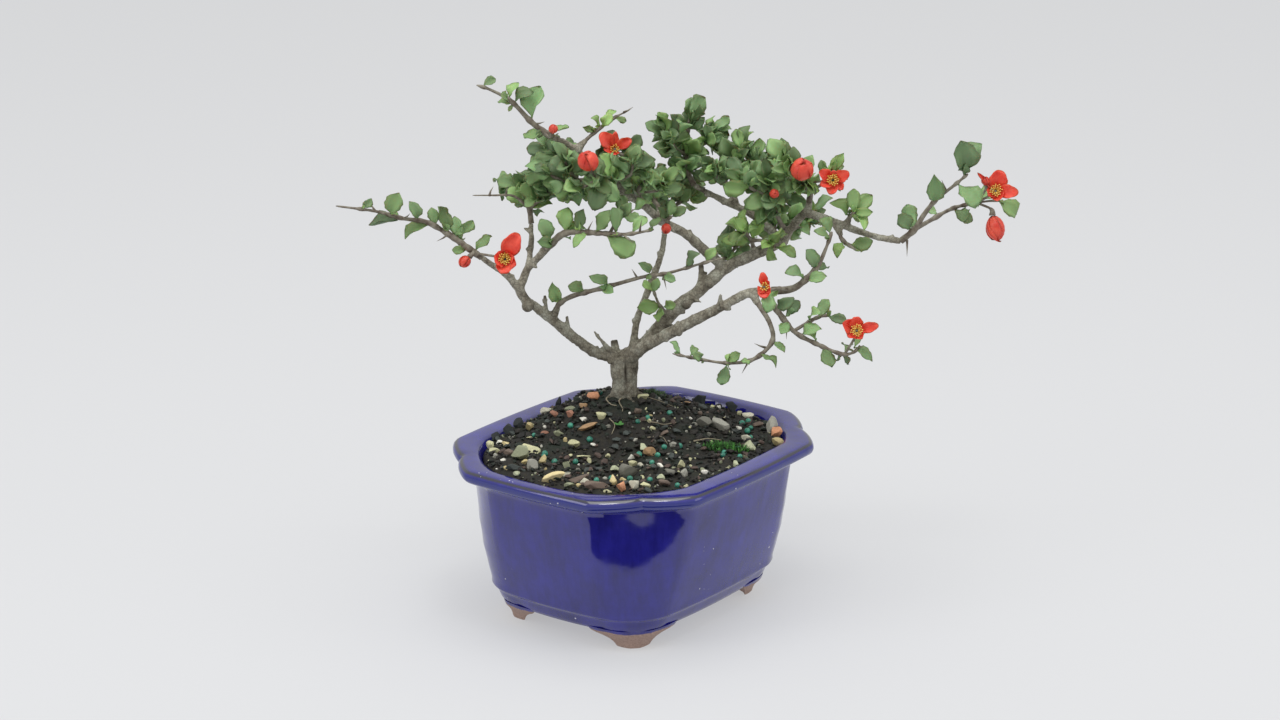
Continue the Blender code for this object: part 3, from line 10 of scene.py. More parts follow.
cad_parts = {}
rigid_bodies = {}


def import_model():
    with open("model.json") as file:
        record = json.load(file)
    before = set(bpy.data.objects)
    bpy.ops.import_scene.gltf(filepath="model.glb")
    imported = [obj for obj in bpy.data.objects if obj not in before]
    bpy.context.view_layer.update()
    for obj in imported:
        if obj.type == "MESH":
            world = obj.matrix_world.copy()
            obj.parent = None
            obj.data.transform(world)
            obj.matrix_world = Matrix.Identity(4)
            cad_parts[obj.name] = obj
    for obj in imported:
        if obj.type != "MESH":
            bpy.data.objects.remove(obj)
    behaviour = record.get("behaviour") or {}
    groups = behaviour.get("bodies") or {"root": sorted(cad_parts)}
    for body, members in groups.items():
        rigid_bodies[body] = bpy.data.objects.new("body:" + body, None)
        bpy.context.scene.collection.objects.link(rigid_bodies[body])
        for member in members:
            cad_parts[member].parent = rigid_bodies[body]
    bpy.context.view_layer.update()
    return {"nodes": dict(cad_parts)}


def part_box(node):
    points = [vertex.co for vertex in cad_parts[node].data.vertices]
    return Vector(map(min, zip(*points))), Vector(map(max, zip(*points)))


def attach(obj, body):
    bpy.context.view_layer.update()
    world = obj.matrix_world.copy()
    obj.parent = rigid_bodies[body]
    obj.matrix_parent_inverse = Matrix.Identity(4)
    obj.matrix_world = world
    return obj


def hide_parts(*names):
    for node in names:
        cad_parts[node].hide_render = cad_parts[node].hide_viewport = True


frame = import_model()
MM = 0.001

# The camera. It stands about two metres from the pot, a little above the tree, and looks at the
# pot's front corner, which gives the photograph's angle and framing.
VIEW_AZIMUTH = math.radians(53.74)
VIEW_DROP = math.radians(17.12)
VIEW_DISTANCE = 2.004
RIM_IN_FRAME = (-4.0 * MM, -48.1 * MM)
LENS = 93.75

pot_low, pot_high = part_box("pot")
rim_centre = Vector(((pot_low.x + pot_high.x) / 2, (pot_low.y + pot_high.y) / 2, pot_high.z))
ahead = Vector((math.sin(VIEW_AZIMUTH), math.cos(VIEW_AZIMUTH), 0))
forward = ahead * math.cos(VIEW_DROP) - Vector((0, 0, math.sin(VIEW_DROP)))
rightward = Vector((math.cos(VIEW_AZIMUTH), -math.sin(VIEW_AZIMUTH), 0))
upward = rightward.cross(forward)
camera = bpy.data.objects.new("camera", bpy.data.cameras.new("camera"))
camera.data.lens = LENS
camera.data.sensor_width = 36
aside = rightward * RIM_IN_FRAME[0] + upward * RIM_IN_FRAME[1]
camera.location = rim_centre - aside - forward * VIEW_DISTANCE
camera.rotation_euler = Matrix((rightward, upward, -forward)).transposed().to_euler()
bpy.context.scene.collection.objects.link(camera)
bpy.context.scene.camera = camera


# The studio. A pale painted floor runs out of view, and big soft lamps overhead and beside the
# camera leave only a faint shadow under the pot. A dark card gives the glaze something to mirror.
SKY_LOW, SKY_HIGH = 0.62, 0.95
FLOOR_SIZE = 9
CARD_LEVEL = 0.4
CARD = ((-88, -150), (-20, -178), (72, -178), (140, -150), (140, -240), (26, -266), (-88, -240))


def linear(colour):
    """An sRGB hex colour as linear RGBA."""
    parts = [int(colour[i:i + 2], 16) / 255 for i in (1, 3, 5)]
    return (*[p / 12.92 if p <= 0.04045 else ((p + 0.055) / 1.055) ** 2.4 for p in parts], 1.0)


def feed(tree, node, links):
    """Joins a node's sockets to the sockets, or to the first live sockets of the nodes, that feed them."""
    for key, source in links.items():
        if isinstance(source, bpy.types.Node):
            source = next(out for out in source.outputs if out.enabled)
        tree.links.new(source, node.inputs[key])


def add(tree, kind, settings=None, links=None, stops=()):
    """Adds a node with its properties or socket values, what feeds it and a colour ramp's stops."""
    node = tree.nodes.new("ShaderNode" + kind)
    for key, value in (settings or {}).items():
        if isinstance(key, str) and hasattr(node, key):
            setattr(node, key, value)
        else:
            node.inputs[key].default_value = value
    feed(tree, node, links or {})
    for number, (position, colour) in enumerate(stops):
        ramp = node.color_ramp.elements
        stop = ramp[number] if number < len(ramp) else ramp.new(position)
        stop.position, stop.color = position, linear(colour)
    return node


def start_material(name, **settings):
    """A material's node tree, its Principled shader and its Object coordinates."""
    material = bpy.data.materials.new(name)
    material.use_nodes = True
    tree = material.node_tree
    shader = tree.nodes["Principled BSDF"]
    for key, value in settings.items():
        shader.inputs[key.replace("_", " ")].default_value = value
    place = add(tree, "TexCoord").outputs["Object"]
    return material, tree, shader, place


def finished(name, bm, *materials, smooth=True):
    """Turns a bmesh into an object at the origin with its materials."""
    mesh = bpy.data.meshes.new(name)
    bm.to_mesh(mesh)
    bm.free()
    if smooth:
        mesh.shade_smooth()
    for material in materials:
        mesh.materials.append(material)
    made = bpy.data.objects.new(name, mesh)
    bpy.context.scene.collection.objects.link(made)
    return made


painted_board, *_ = start_material(
    "painted_board", Base_Color=linear("#939496"), Roughness=0.85, Specular_IOR_Level=0.0,
    Emission_Color=linear("#f6f7f9"), Emission_Strength=0.44,
)
bm = bmesh.new()
bmesh.ops.create_grid(bm, x_segments=1, y_segments=1, size=FLOOR_SIZE)
floor = finished("floor", bm, painted_board)

# The room is one wide soft light, brighter overhead than at the horizon.
world = bpy.data.worlds.new("studio")
bpy.context.scene.world = world
bpy.context.scene.view_settings.view_transform = "Standard"
world.use_nodes = True
tree = world.node_tree
sky = tree.nodes["Background"]
height = add(tree, "SeparateXYZ", links={"Vector": add(tree, "TexCoord").outputs["Generated"]})
levels = {"From Max": 0.9, "To Min": SKY_LOW, "To Max": SKY_HIGH}
dome = add(tree, "MapRange", levels, {"Value": height.outputs["Z"]})
feed(tree, sky, {"Strength": dome})
sky.inputs["Color"].default_value = linear("#f9f8f6")


def lamp(name, power, size, spot):
    """A square white lamp at a spot, turned to the middle of the object."""
    data = bpy.data.lights.new(name, "AREA")
    data.energy = power
    data.size = size
    made = bpy.data.objects.new(name, data)
    made.location = spot
    made.rotation_euler = (aim - spot).to_track_quat("-Z", "Y").to_euler()
    bpy.context.scene.collection.objects.link(made)


aim = rim_centre + Vector((0, 0, 0.05))
lamp("top_softbox", 13, 1.3, aim + Vector((0, 0, 1.7)) - forward * 0.3)
lamp("left_softbox", 6, 0.9, aim - rightward * 1.5 + upward * 0.7 - forward * 1.1)
lamp("right_softbox", 3, 0.9, aim + rightward * 1.6 + upward * 0.6 - forward * 0.7)
lamp("front_softbox", 7, 0.5, aim + rightward * 0.25 + upward * 1.9 - forward * 1.6)
# The glaze mirrors a dark card that lies in front of the pot, which only its reflections show.
black_card, *_ = start_material("black_card", Base_Color=linear("#050506"), Roughness=0.9)
bm = bmesh.new()
middle = Vector((rim_centre.x, rim_centre.y, CARD_LEVEL * MM))
bm.faces.new([bm.verts.new(middle + (rightward * r + ahead * a) * MM) for r, a in CARD])
card = finished("dark_card", bm, black_card)
card.visible_camera = False
card.visible_diffuse = False
card.visible_shadow = False

# The pot. It is slip-cast stoneware with cut, lobed corners, dipped in a cobalt glaze that thins to
# olive grey on its sharpest edge and stops short of the bare clay feet and underside.
POT_LENGTH = 214
POT_WIDTH = 184
POT_HEIGHT = 104
FOOT_HEIGHT = 11
RIM_BOW = 2.0
SIDE_STEPS = 8
CORNER_STEPS = 24
DRAIN_HOLES = (-39, 39)
DRAIN_HOLE_RADIUS = 7
# A foot's plan, as distances in from the two sides that meet at its corner, and how wide it is
# drawn about its heel at each height.
FOOT_INSET = 33.8
FOOT_HEEL = 15
FOOT_STEPS = 5
FOOT_PLAN = (
    (0, 40), (0, 27), (2.4, 15), (8.4, 8.4), (15, 2.4), (27, 0), (40, 0), (30, 10), (24.5, 24.5), (10, 30),
)
FOOT_RINGS = (
    (0, 0.35), (0.5, 0.38), (1.4, 0.40), (3, 0.45), (5, 0.54), (7, 0.68), (8.8, 0.84), (10.4, 0.95),
    (13.0, 1.03),
)
# Each row: depth under the rim, inset, how much more the short half is inset, the bulge of the
# corner's two ears, the corner's cut, how round the cut is, and how thin the glaze has run, or
# how thickly it has pooled where that is below nought.
POT_OUTSIDE = (
    (92.9, 34.6, 0, 0, 29, 1.0, 0), (92.2, 33.2, 0, 0, 29, 1.0, 0), (90.0, 31.8, 0, 0, 29, 1.0, 0),
    (86.5, 29.9, 0, 0, 30, 0.9, 0), (84.6, 28.9, 0, 0, 31, 0.85, 0), (83.6, 28.2, 0, 0, 31, 0.8, 0),
    (82.9, 27.3, 0, 0, 31, 0.8, 0), (82.2, 26.6, 0, 0, 31, 0.8, 0), (81.2, 26.2, 0, 0, 31, 0.8, 0.02),
    (79.5, 25.8, 0, 0, 32, 0.78, 0), (76.0, 24.8, 0, 0, 33, 0.75, 0), (71.0, 23.2, 0, 0, 34, 0.7, 0),
    (64.0, 21.1, 0, 0, 36, 0.65, 0), (57.0, 19.2, 0, 0, 37, 0.6, 0), (50.0, 17.6, 0, 0, 39, 0.55, 0),
    (42.0, 15.9, 0, 0, 40, 0.5, 0), (34.0, 14.4, 0, 0, 42, 0.45, 0), (26.0, 13.0, 0, 0, 43, 0.4, 0),
    (19.0, 11.8, 0, 0.1, 44, 0.35, 0), (14.5, 10.9, 0, 0.3, 45, 0.3, 0), (12.2, 10.0, 0, 0.5, 46, 0.25, 0),
    (10.9, 8.8, 0, 0.8, 46, 0.2, -0.2), (10.0, 7.2, 0, 1.1, 47, 0.17, -0.6),
    (9.3, 5.5, 0, 1.5, 47, 0.13, -0.9), (8.6, 3.9, 0, 1.9, 47, 0.1, -1), (7.8, 2.2, 0, 2.2, 48, 0.06, -1),
    (6.9, 0.9, 0, 2.4, 48, 0.03, -1), (5.9, 0.2, 0, 2.5, 48, 0.0, -1), (4.7, -0.1, 0, 2.6, 48, 0.0, -1),
    (3.5, -0.1, 0, 2.6, 48, 0.0, -1), (2.6, 0.1, 0, 2.6, 48, 0.0, -0.8), (1.9, 0.4, 0, 2.6, 48, 0.0, 0),
    (1.3, 0.8, 0, 2.6, 48, 0.0, 0.8), (0.8, 1.3, 0, 2.6, 48, 0.0, 1.0), (0.4, 1.8, 0, 2.6, 48, 0.0, 0.7),
    (0.1, 2.5, 0, 2.6, 48, 0.0, 0.1), (-0.1, 3.6, 0.1, 2.4, 48, 0.02, 0),
)
POT_INSIDE = (
    (-0.2, 5.2, 0.8, 2.0, 47, 0.1, 0), (-0.1, 7.2, 2.4, 1.2, 47, 0.27, 0),
    (0.1, 9.1, 4.4, 0.4, 46, 0.43, 0), (0.5, 10.3, 5.1, 0, 46, 0.5, 0.1),
    (1.2, 11.0, 5.1, 0, 46, 0.5, 0.25), (2.6, 11.8, 5.0, 0, 46, 0.5, 0), (6.0, 13.1, 4.6, 0, 46, 0.53, 0),
    (14.0, 16.0, 3.5, 0, 45, 0.6, 0), (32.0, 21.3, 2.9, 0, 42, 0.67, 0), (60.0, 29.4, 1.9, 0, 37, 0.79, 0),
    (82.0, 35.8, 1.1, 0, 33, 0.88, 0), (85.0, 37.2, 1.0, 0, 32, 0.9, 0), (86.0, 40.0, 1.0, 0, 32, 0.9, 0),
)


def quarter_outline(inset_x, inset_y, bulge, corner, rounded):
    """A quarter of the pot's plan: two bowed sides and a corner, cut off into two ears or rounded."""
    half_x, half_y = POT_LENGTH / 2 - inset_x, POT_WIDTH / 2 - inset_y
    points = []
    for i in range(SIDE_STEPS):
        along = i / SIDE_STEPS
        points.append(Vector((half_x - RIM_BOW * along ** 2, along * (half_y - corner), 0)))
    start = Vector((half_x - RIM_BOW, half_y - corner, 0))
    end = Vector((half_x - corner, half_y - RIM_BOW, 0))
    for i in range(CORNER_STEPS + 1):
        share = i / CORNER_STEPS
        arch = math.sqrt(1 - 2 * (share - 0.5) ** 2) - math.sqrt(0.5)
        lift = bulge * abs(math.sin(math.tau * share)) ** 0.6 + rounded * corner * arch
        points.append(start.lerp(end, share) + Vector((lift, lift, 0)) * math.sqrt(0.5))
    for i in range(SIDE_STEPS - 1, 0, -1):
        along = i / SIDE_STEPS
        points.append(Vector((along * (half_x - corner), half_y - RIM_BOW * along ** 2, 0)))
    return points


def pot_outline(depth, inset, more, bulge, corner, rounded):
    """A ring round the pot at a depth below the rim, as places in the world."""
    quarter = quarter_outline(inset, inset + more, bulge, corner, rounded)
    ring = []
    for flip_x, flip_y in ((1, 1), (-1, 1), (-1, -1), (1, -1)):
        side = [Vector((p.x * flip_x, p.y * flip_y, 0)) for p in quarter]
        joint = Vector((0, (POT_WIDTH / 2 - inset - more) * flip_y, 0))
        if flip_x * flip_y > 0:
            ring += side + [joint] if flip_x > 0 else side[1:] + [joint]
        else:
            ring += side[::-1] if flip_x < 0 else side[:0:-1]
    return [rim_centre + (p - Vector((0, 0, depth))) * MM for p in ring]


def wall_ring(depth, gap):
    """A ring inside the pot's wall at a depth, clear of it by a gap."""
    upper, lower = next(rows for rows in zip(POT_INSIDE, POT_INSIDE[1:]) if depth <= rows[1][0])
    share = (depth - upper[0]) / (lower[0] - upper[0])
    above, below = (pot_outline(z, inset + gap, *shape[:4]) for z, inset, *shape in (upper, lower))
    return [a.lerp(b, share) for a, b in zip(above, below)]


def drawn_out(bm, rings, layer=None, values=()):
    """Draws an outline out through a list of rings, closed at both ends."""
    level = list(bmesh.ops.create_circle(bm, segments=len(rings[0]), radius=1)["verts"])
    edges = list({e for v in level for e in v.link_edges})
    for vert, spot in zip(level, rings[0]):
        vert.co = spot
    bm.faces.new(level)
    for number, ring in enumerate(rings[1:], 1):
        drawn = bmesh.ops.extrude_edge_only(bm, edges=edges)["geom"]
        edges = [g for g in drawn if isinstance(g, bmesh.types.BMEdge)]
        fresh = {g for g in drawn if isinstance(g, bmesh.types.BMVert)}
        upper = []
        for vert in level:
            upper.append(next(e.other_vert(vert) for e in vert.link_edges if e.other_vert(vert) in fresh))
        for vert, spot in zip(upper, ring):
            vert.co = spot
            if layer:
                vert[layer] = values[number]
        level = upper
    bm.faces.new(level)


bm = bmesh.new()
thinness = bm.verts.layers.float.new("glaze_thin")
profile = POT_OUTSIDE + POT_INSIDE
drawn_out(bm, [pot_outline(*row[:6]) for row in profile], thinness, [row[6] for row in profile])
bmesh.ops.recalc_face_normals(bm, faces=bm.faces)
shell = finished("pot_shell", bm)


def foot_rings(flip_x, flip_y):
    """The rings of one bracket foot, which follows the base's corner and is hollowed towards the middle."""
    half_x, half_y = POT_LENGTH / 2 - FOOT_INSET, POT_WIDTH / 2 - FOOT_INSET
    fine = []
    for (ax, ay), (bx, by) in zip(FOOT_PLAN, FOOT_PLAN[1:] + FOOT_PLAN[:1]):
        steps = [i / FOOT_STEPS for i in range(FOOT_STEPS)]
        fine += [(ax + (bx - ax) * share, ay + (by - ay) * share) for share in steps]
    for _ in range(2):
        fine = [
            tuple(0.25 * a + 0.5 * b + 0.25 * c for a, b, c in zip(p, q, r))
            for p, q, r in zip(fine[-1:] + fine[:-1], fine, fine[1:] + fine[:1])
        ]
    rings = []
    for z, scale in FOOT_RINGS:
        ring = []
        for x, y in fine:
            out_x = flip_x * (half_x - FOOT_HEEL - (x - FOOT_HEEL) * scale)
            out_y = flip_y * (half_y - FOOT_HEEL - (y - FOOT_HEEL) * scale)
            ring.append(Vector((out_x, out_y, z - POT_HEIGHT)) * MM + rim_centre)
        rings.append(ring)
    return rings


joined = bpy.data.collections.new("pot_feet")
pierced = bpy.data.collections.new("pot_holes")
for flip_x in (1, -1):
    for flip_y in (1, -1):
        bm = bmesh.new()
        drawn_out(bm, foot_rings(flip_x, flip_y))
        bmesh.ops.recalc_face_normals(bm, faces=bm.faces)
        joined.objects.link(finished("foot", bm))
for x in DRAIN_HOLES:
    bm = bmesh.new()
    middle = Matrix.Translation(rim_centre + Vector((x, 0, FOOT_HEIGHT + 2 - POT_HEIGHT)) * MM)
    wide = DRAIN_HOLE_RADIUS * MM
    bmesh.ops.create_cone(
        bm, cap_ends=True, segments=48, radius1=wide, radius2=wide, depth=40 * MM, matrix=middle,
    )
    pierced.objects.link(finished("hole", bm))
for group, operation in ((joined, "UNION"), (pierced, "DIFFERENCE")):
    boolean = shell.modifiers.new(operation, "BOOLEAN")
    boolean.operation = operation
    boolean.operand_type = "COLLECTION"
    boolean.collection = group
bpy.context.view_layer.update()
fired = bpy.data.meshes.new_from_object(shell.evaluated_get(bpy.context.evaluated_depsgraph_get()))
for item in [shell, *joined.objects, *pierced.objects]:
    bpy.data.objects.remove(item, do_unlink=True)
pot = bpy.data.objects.new("cobalt_pot", fired)
bpy.context.scene.collection.objects.link(pot)
fired.shade_smooth()
fired.set_sharp_from_angle(angle=math.radians(38))

# Cobalt glaze: a glassy coat that pools deeper blue, breaks thin over the lip and has pinholes.
stoneware, tree, shader, place = start_material("cobalt_glazed_stoneware", IOR=1.72)
thin = add(tree, "Attribute", {"attribute_name": "glaze_thin"})
cloud = add(tree, "TexNoise", {"Scale": 60, "Detail": 5, "Roughness": 0.6}, {"Vector": place})
stretch = add(tree, "Mapping", {"Scale": (110, 110, 16)}, {"Vector": place})
streak = add(tree, "TexNoise", {"Scale": 1, "Detail": 4, "Roughness": 0.7}, {"Vector": stretch})
depth_mix = add(tree, "Math", {"operation": "ADD"}, {0: cloud, 1: streak})
halved = add(tree, "Math", {"operation": "MULTIPLY", 1: 0.5}, {0: depth_mix})
cobalt = add(tree, "ValToRGB", None, {"Fac": halved}, ((0.34, "#141262"), (0.66, "#22208c")))
pool = add(
    tree, "MapRange", {"From Min": 0.0, "From Max": -1.0, "To Max": 0.85}, {"Value": thin.outputs["Fac"]},
)
pooled = add(tree, "Mix", {"data_type": "RGBA", 7: linear("#0e1d74")}, {0: pool, 6: cobalt})
broken = add(tree, "Mix", {"data_type": "RGBA", 7: linear("#292a2c")}, {0: thin.outputs["Fac"], 6: pooled})
pits = add(tree, "TexVoronoi", {"Scale": 210}, {"Vector": place})
pit_field = add(tree, "TexNoise", {"Scale": 26, "Detail": 1}, {"Vector": place})
pit_size = add(
    tree, "MapRange", {"From Min": 0.60, "From Max": 0.74, "To Min": 0.0, "To Max": 0.16},
    {"Value": pit_field},
)
pit = add(tree, "Math", {"operation": "LESS_THAN"}, {0: pits, 1: pit_size})
pitted = add(tree, "Mix", {"data_type": "RGBA", 7: linear("#c9c8d6")}, {0: pit, 6: broken})
# The glaze line: its height wavers by about a millimetre round the foot of the wall.
split = add(tree, "SeparateXYZ", links={"Vector": place})
waver = add(tree, "TexNoise", {"Scale": 90, "Detail": 3}, {"Vector": place})
line = add(tree, "Math", {"operation": "MULTIPLY_ADD", 1: -0.0030, 2: 0.0002}, {0: waver})
above = add(tree, "Math", {"operation": "ADD"}, {0: split.outputs["Z"], 1: line})
bare = add(
    tree, "MapRange", {"From Min": 0.0094, "From Max": 0.0100, "To Min": 1.0, "To Max": 0.0},
    {"Value": above},
)
grit = add(tree, "TexNoise", {"Scale": 900, "Detail": 6, "Roughness": 0.7}, {"Vector": place})
clay = add(tree, "ValToRGB", None, {"Fac": grit}, ((0.3, "#80685e"), (0.72, "#b5998c")))
body_colour = add(tree, "Mix", {"data_type": "RGBA"}, {0: bare, 6: pitted, 7: clay})
sheen = add(tree, "MapRange", {"To Min": 0.05, "To Max": 0.17}, {"Value": streak})
dull = add(tree, "Mix", {"data_type": "FLOAT", 3: 0.85}, {0: bare, 2: sheen})
ripple = add(tree, "TexNoise", {"Scale": 45, "Detail": 2}, {"Vector": place})
ripple_bump = add(tree, "Bump", {"Strength": 0.25, "Distance": 0.0012}, {"Height": ripple})
clay_bump = add(tree, "Bump", {"Distance": 0.0002}, {"Height": grit, "Strength": bare, "Normal": ripple_bump})
feed(tree, shader, {"Base Color": body_colour, "Roughness": dull, "Normal": clay_bump})
fired.materials.clear()
fired.materials.append(stoneware)
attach(pot, "root")
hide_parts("pot")

# Drain screens. Two squares of black plastic mesh, moulded in polypropylene, lie loose over the
# drainage holes inside the pot, and the soil holds them down.
plastic, tree, shader, place = start_material("moulded_polypropylene", IOR=1.49, Roughness=0.55)
grain = add(tree, "TexNoise", {"Scale": 1400, "Detail": 3}, {"Vector": place})
black = add(tree, "ValToRGB", None, {"Fac": grain}, ((0.0, "#141516"), (1.0, "#26282a")))
pebbled = add(tree, "Bump", {"Distance": 0.0001, "Strength": 0.5}, {"Height": grain})
feed(tree, shader, {"Base Color": black, "Normal": pebbled})
for name in ("drain_screen_left", "drain_screen_right"):
    screen = frame["nodes"][name]
    screen.data.materials.clear()
    screen.data.materials.append(plastic)

# The soil. Dark, moist potting mix of peat, composted bark and grit fills the pot nearly to the lip
# and rises to the trunk. Its surface is crumbly, with larger stones and chips pressed into it.
SOIL_BELOW_RIM = 2.5
SOIL_LEAN = (0.012, -0.021)
MOUND_RISE = 20
MOUND_RADIUS = 76
TRUNK_FOOT = Vector((24, 25, 0))
SOIL_RINGS = 46
WALL_DEPTHS = (84, 60, 32, 14)
# The soil stops this far short of the wall, and its surface meets the wall at this depth.
WALL_GAP = 0.5
EDGE_DEPTH = 4.8
EDGE_SHARE = 0.96


def crumbled(spot):
    """How far the soil's surface stands proud at a place, in millimetres."""
    spot = spot / MM
    lumps = noise.noise(spot / 11) * 1.5 + noise.noise(spot / 4.2) * 1.0
    return lumps + noise.noise(spot / 1.9) * 0.7


def soil_ring(share):
    """A ring of the surface, from the trunk at 0 to the pot's wall at 1."""
    ring = []
    for edge in wall_ring(EDGE_DEPTH, WALL_GAP):
        flat = (edge - rim_centre) / MM
        spot = TRUNK_FOOT.lerp(Vector((flat.x, flat.y, 0)), share)
        away = min(1.0, (spot - TRUNK_FOOT).length / MOUND_RADIUS)
        rise = MOUND_RISE * (0.5 + 0.5 * math.cos(math.pi * away)) * (1 - share ** 10)
        spot.z = rise - SOIL_BELOW_RIM - SOIL_LEAN[0] * spot.x - SOIL_LEAN[1] * spot.y
        if share > EDGE_SHARE:
            spot.z = min(spot.z, -EDGE_DEPTH) if share > 0.99 else spot.z - (share - EDGE_SHARE) * 80
        ring.append(rim_centre + spot * MM)
    return ring


bm = bmesh.new()
rings = [wall_ring(depth, WALL_GAP) for depth in WALL_DEPTHS]
rings += [soil_ring(1 - 0.97 * (i / SOIL_RINGS) ** 0.8) for i in range(SOIL_RINGS + 1)]
drawn_out(bm, rings)
surface = [f for f in bm.faces if len(f.verts) == 4 and f.calc_center_median().z > rim_centre.z - 5 * MM]
edges = list({e for f in surface for e in f.edges})
bmesh.ops.subdivide_edges(bm, edges=edges, cuts=1, use_grid_fill=True)
bmesh.ops.recalc_face_normals(bm, faces=bm.faces)
for vert in bm.verts:
    if vert.co.z > rim_centre.z - (EDGE_DEPTH - 0.2) * MM:
        vert.co.z += crumbled(vert.co) * MM
soil_tree = BVHTree.FromBMesh(bm)
potting_mix, tree, shader, place = start_material("moist_potting_mix")
coarse = add(tree, "TexNoise", {"Scale": 380, "Detail": 6, "Roughness": 0.75}, {"Vector": place})
fibre = add(tree, "TexVoronoi", {"Scale": 700}, {"Vector": place})
humus = add(tree, "ValToRGB", None, {"Fac": coarse}, ((0.32, "#0f0c0a"), (0.52, "#1c1a14"), (0.72, "#35301f")))
algae_field = add(tree, "TexNoise", {"Scale": 34, "Detail": 2}, {"Vector": place})
algae = add(tree, "MapRange", {"From Min": 0.5, "From Max": 0.68, "To Max": 0.55}, {"Value": algae_field})
greened = add(tree, "Mix", {"data_type": "RGBA", 7: linear("#17291c")}, {0: algae, 6: humus})
damp_soil_and_low_trunk = add(tree, "MapRange", {"To Min": 0.55, "To Max": 0.98}, {"Value": coarse})
crumb = add(tree, "Bump", {"Strength": 0.9, "Distance": 0.0006}, {"Height": coarse})
crumb_b = add(tree, "Bump", {"Strength": 0.5, "Distance": 0.0004}, {"Height": fibre, "Normal": crumb})
feed(tree, shader, {"Base Color": greened, "Roughness": damp_soil_and_low_trunk, "Normal": crumb_b})
soil = finished("potting_mix", bm, potting_mix)
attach(soil, "root")
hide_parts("soil")


# Stones and chips. Sieved gravel in cream, tan, olive, grey and orange, broken bark, and grit, all
# pressed a little way into the soil by hand.
def ground(x, y):
    """The soil's surface under a place given in the pot's millimetres."""
    top = rim_centre + Vector((x, y, 60)) * MM
    return soil_tree.ray_cast(top, Vector((0, 0, -1)))[0]


def inside_wall(x, y, margin):
    """Whether a place is on the soil and clear of the pot's inner wall by a margin."""
    margin += 0.3
    around = ((margin, 0), (-margin, 0), (0, margin), (0, -margin))
    return all(ground(x + step_x, y + step_y) is not None for step_x, step_y in around)


def from_trunk(x, y):
    """How far a place is from the middle of the trunk's foot."""
    return math.hypot(x - TRUNK_FOOT.x, y - TRUNK_FOOT.y)


def faceted(bm, spot, size, turn, cuts, level, colour, layer, rng):
    """One stone or chip: a ball flattened by random cuts, stretched, turned and set at a spot."""
    made = bmesh.ops.create_icosphere(bm, subdivisions=level, radius=1)["verts"]
    for _ in range(cuts):
        way = Vector([rng.gauss(0, 1) for _ in range(3)]).normalized()
        reach = rng.uniform(0.38, 0.74)
        for vert in made:
            over = vert.co.dot(way) - reach
            if over > 0:
                vert.co -= way * over
    lean = Matrix.Rotation(rng.uniform(-0.5, 0.5), 3, "X") @ Matrix.Rotation(rng.uniform(-0.5, 0.5), 3, "Y")
    spin = Matrix.Rotation(turn, 3, "Z") @ lean @ Matrix.Diagonal(size)
    for vert in made:
        vert.co = spot + spin @ vert.co * MM
        vert[layer] = colour


def shade_of(colour, rng, spread=0.16):
    """A hex colour made a little lighter or darker, as no two stones are alike."""
    level = 1 + rng.uniform(-spread, spread)
    return tuple(c * level for c in linear(colour)[:3]) + (1.0,)


CREAM, SAND, OLIVE, GREY = "#c6c49c", "#c0b080", "#8f9478", "#77766c"
BUFF, TAN, PALE_OLIVE, PEARL = "#dccb98", "#b08e68", "#b6bb9b", "#cdcab6"
ORANGE, RUST, CHARCOAL = "#d79a74", "#a3745f", "#242a2b"
STONE_GREY, BROWN, WHITE, SLATE = "#a3a297", "#6f6055", "#e6e4d8", "#3f4643"
BARK_DARK, BARK_RED, BARK_BLACK = "#24201b", "#50413a", "#141412"
# Half sizes are this share of a stone's size, and its middle is this share of its height up.
STONE_HALF, STONE_LIFT = 0.58, 0.34
TRUNK_CLEARANCE = 11
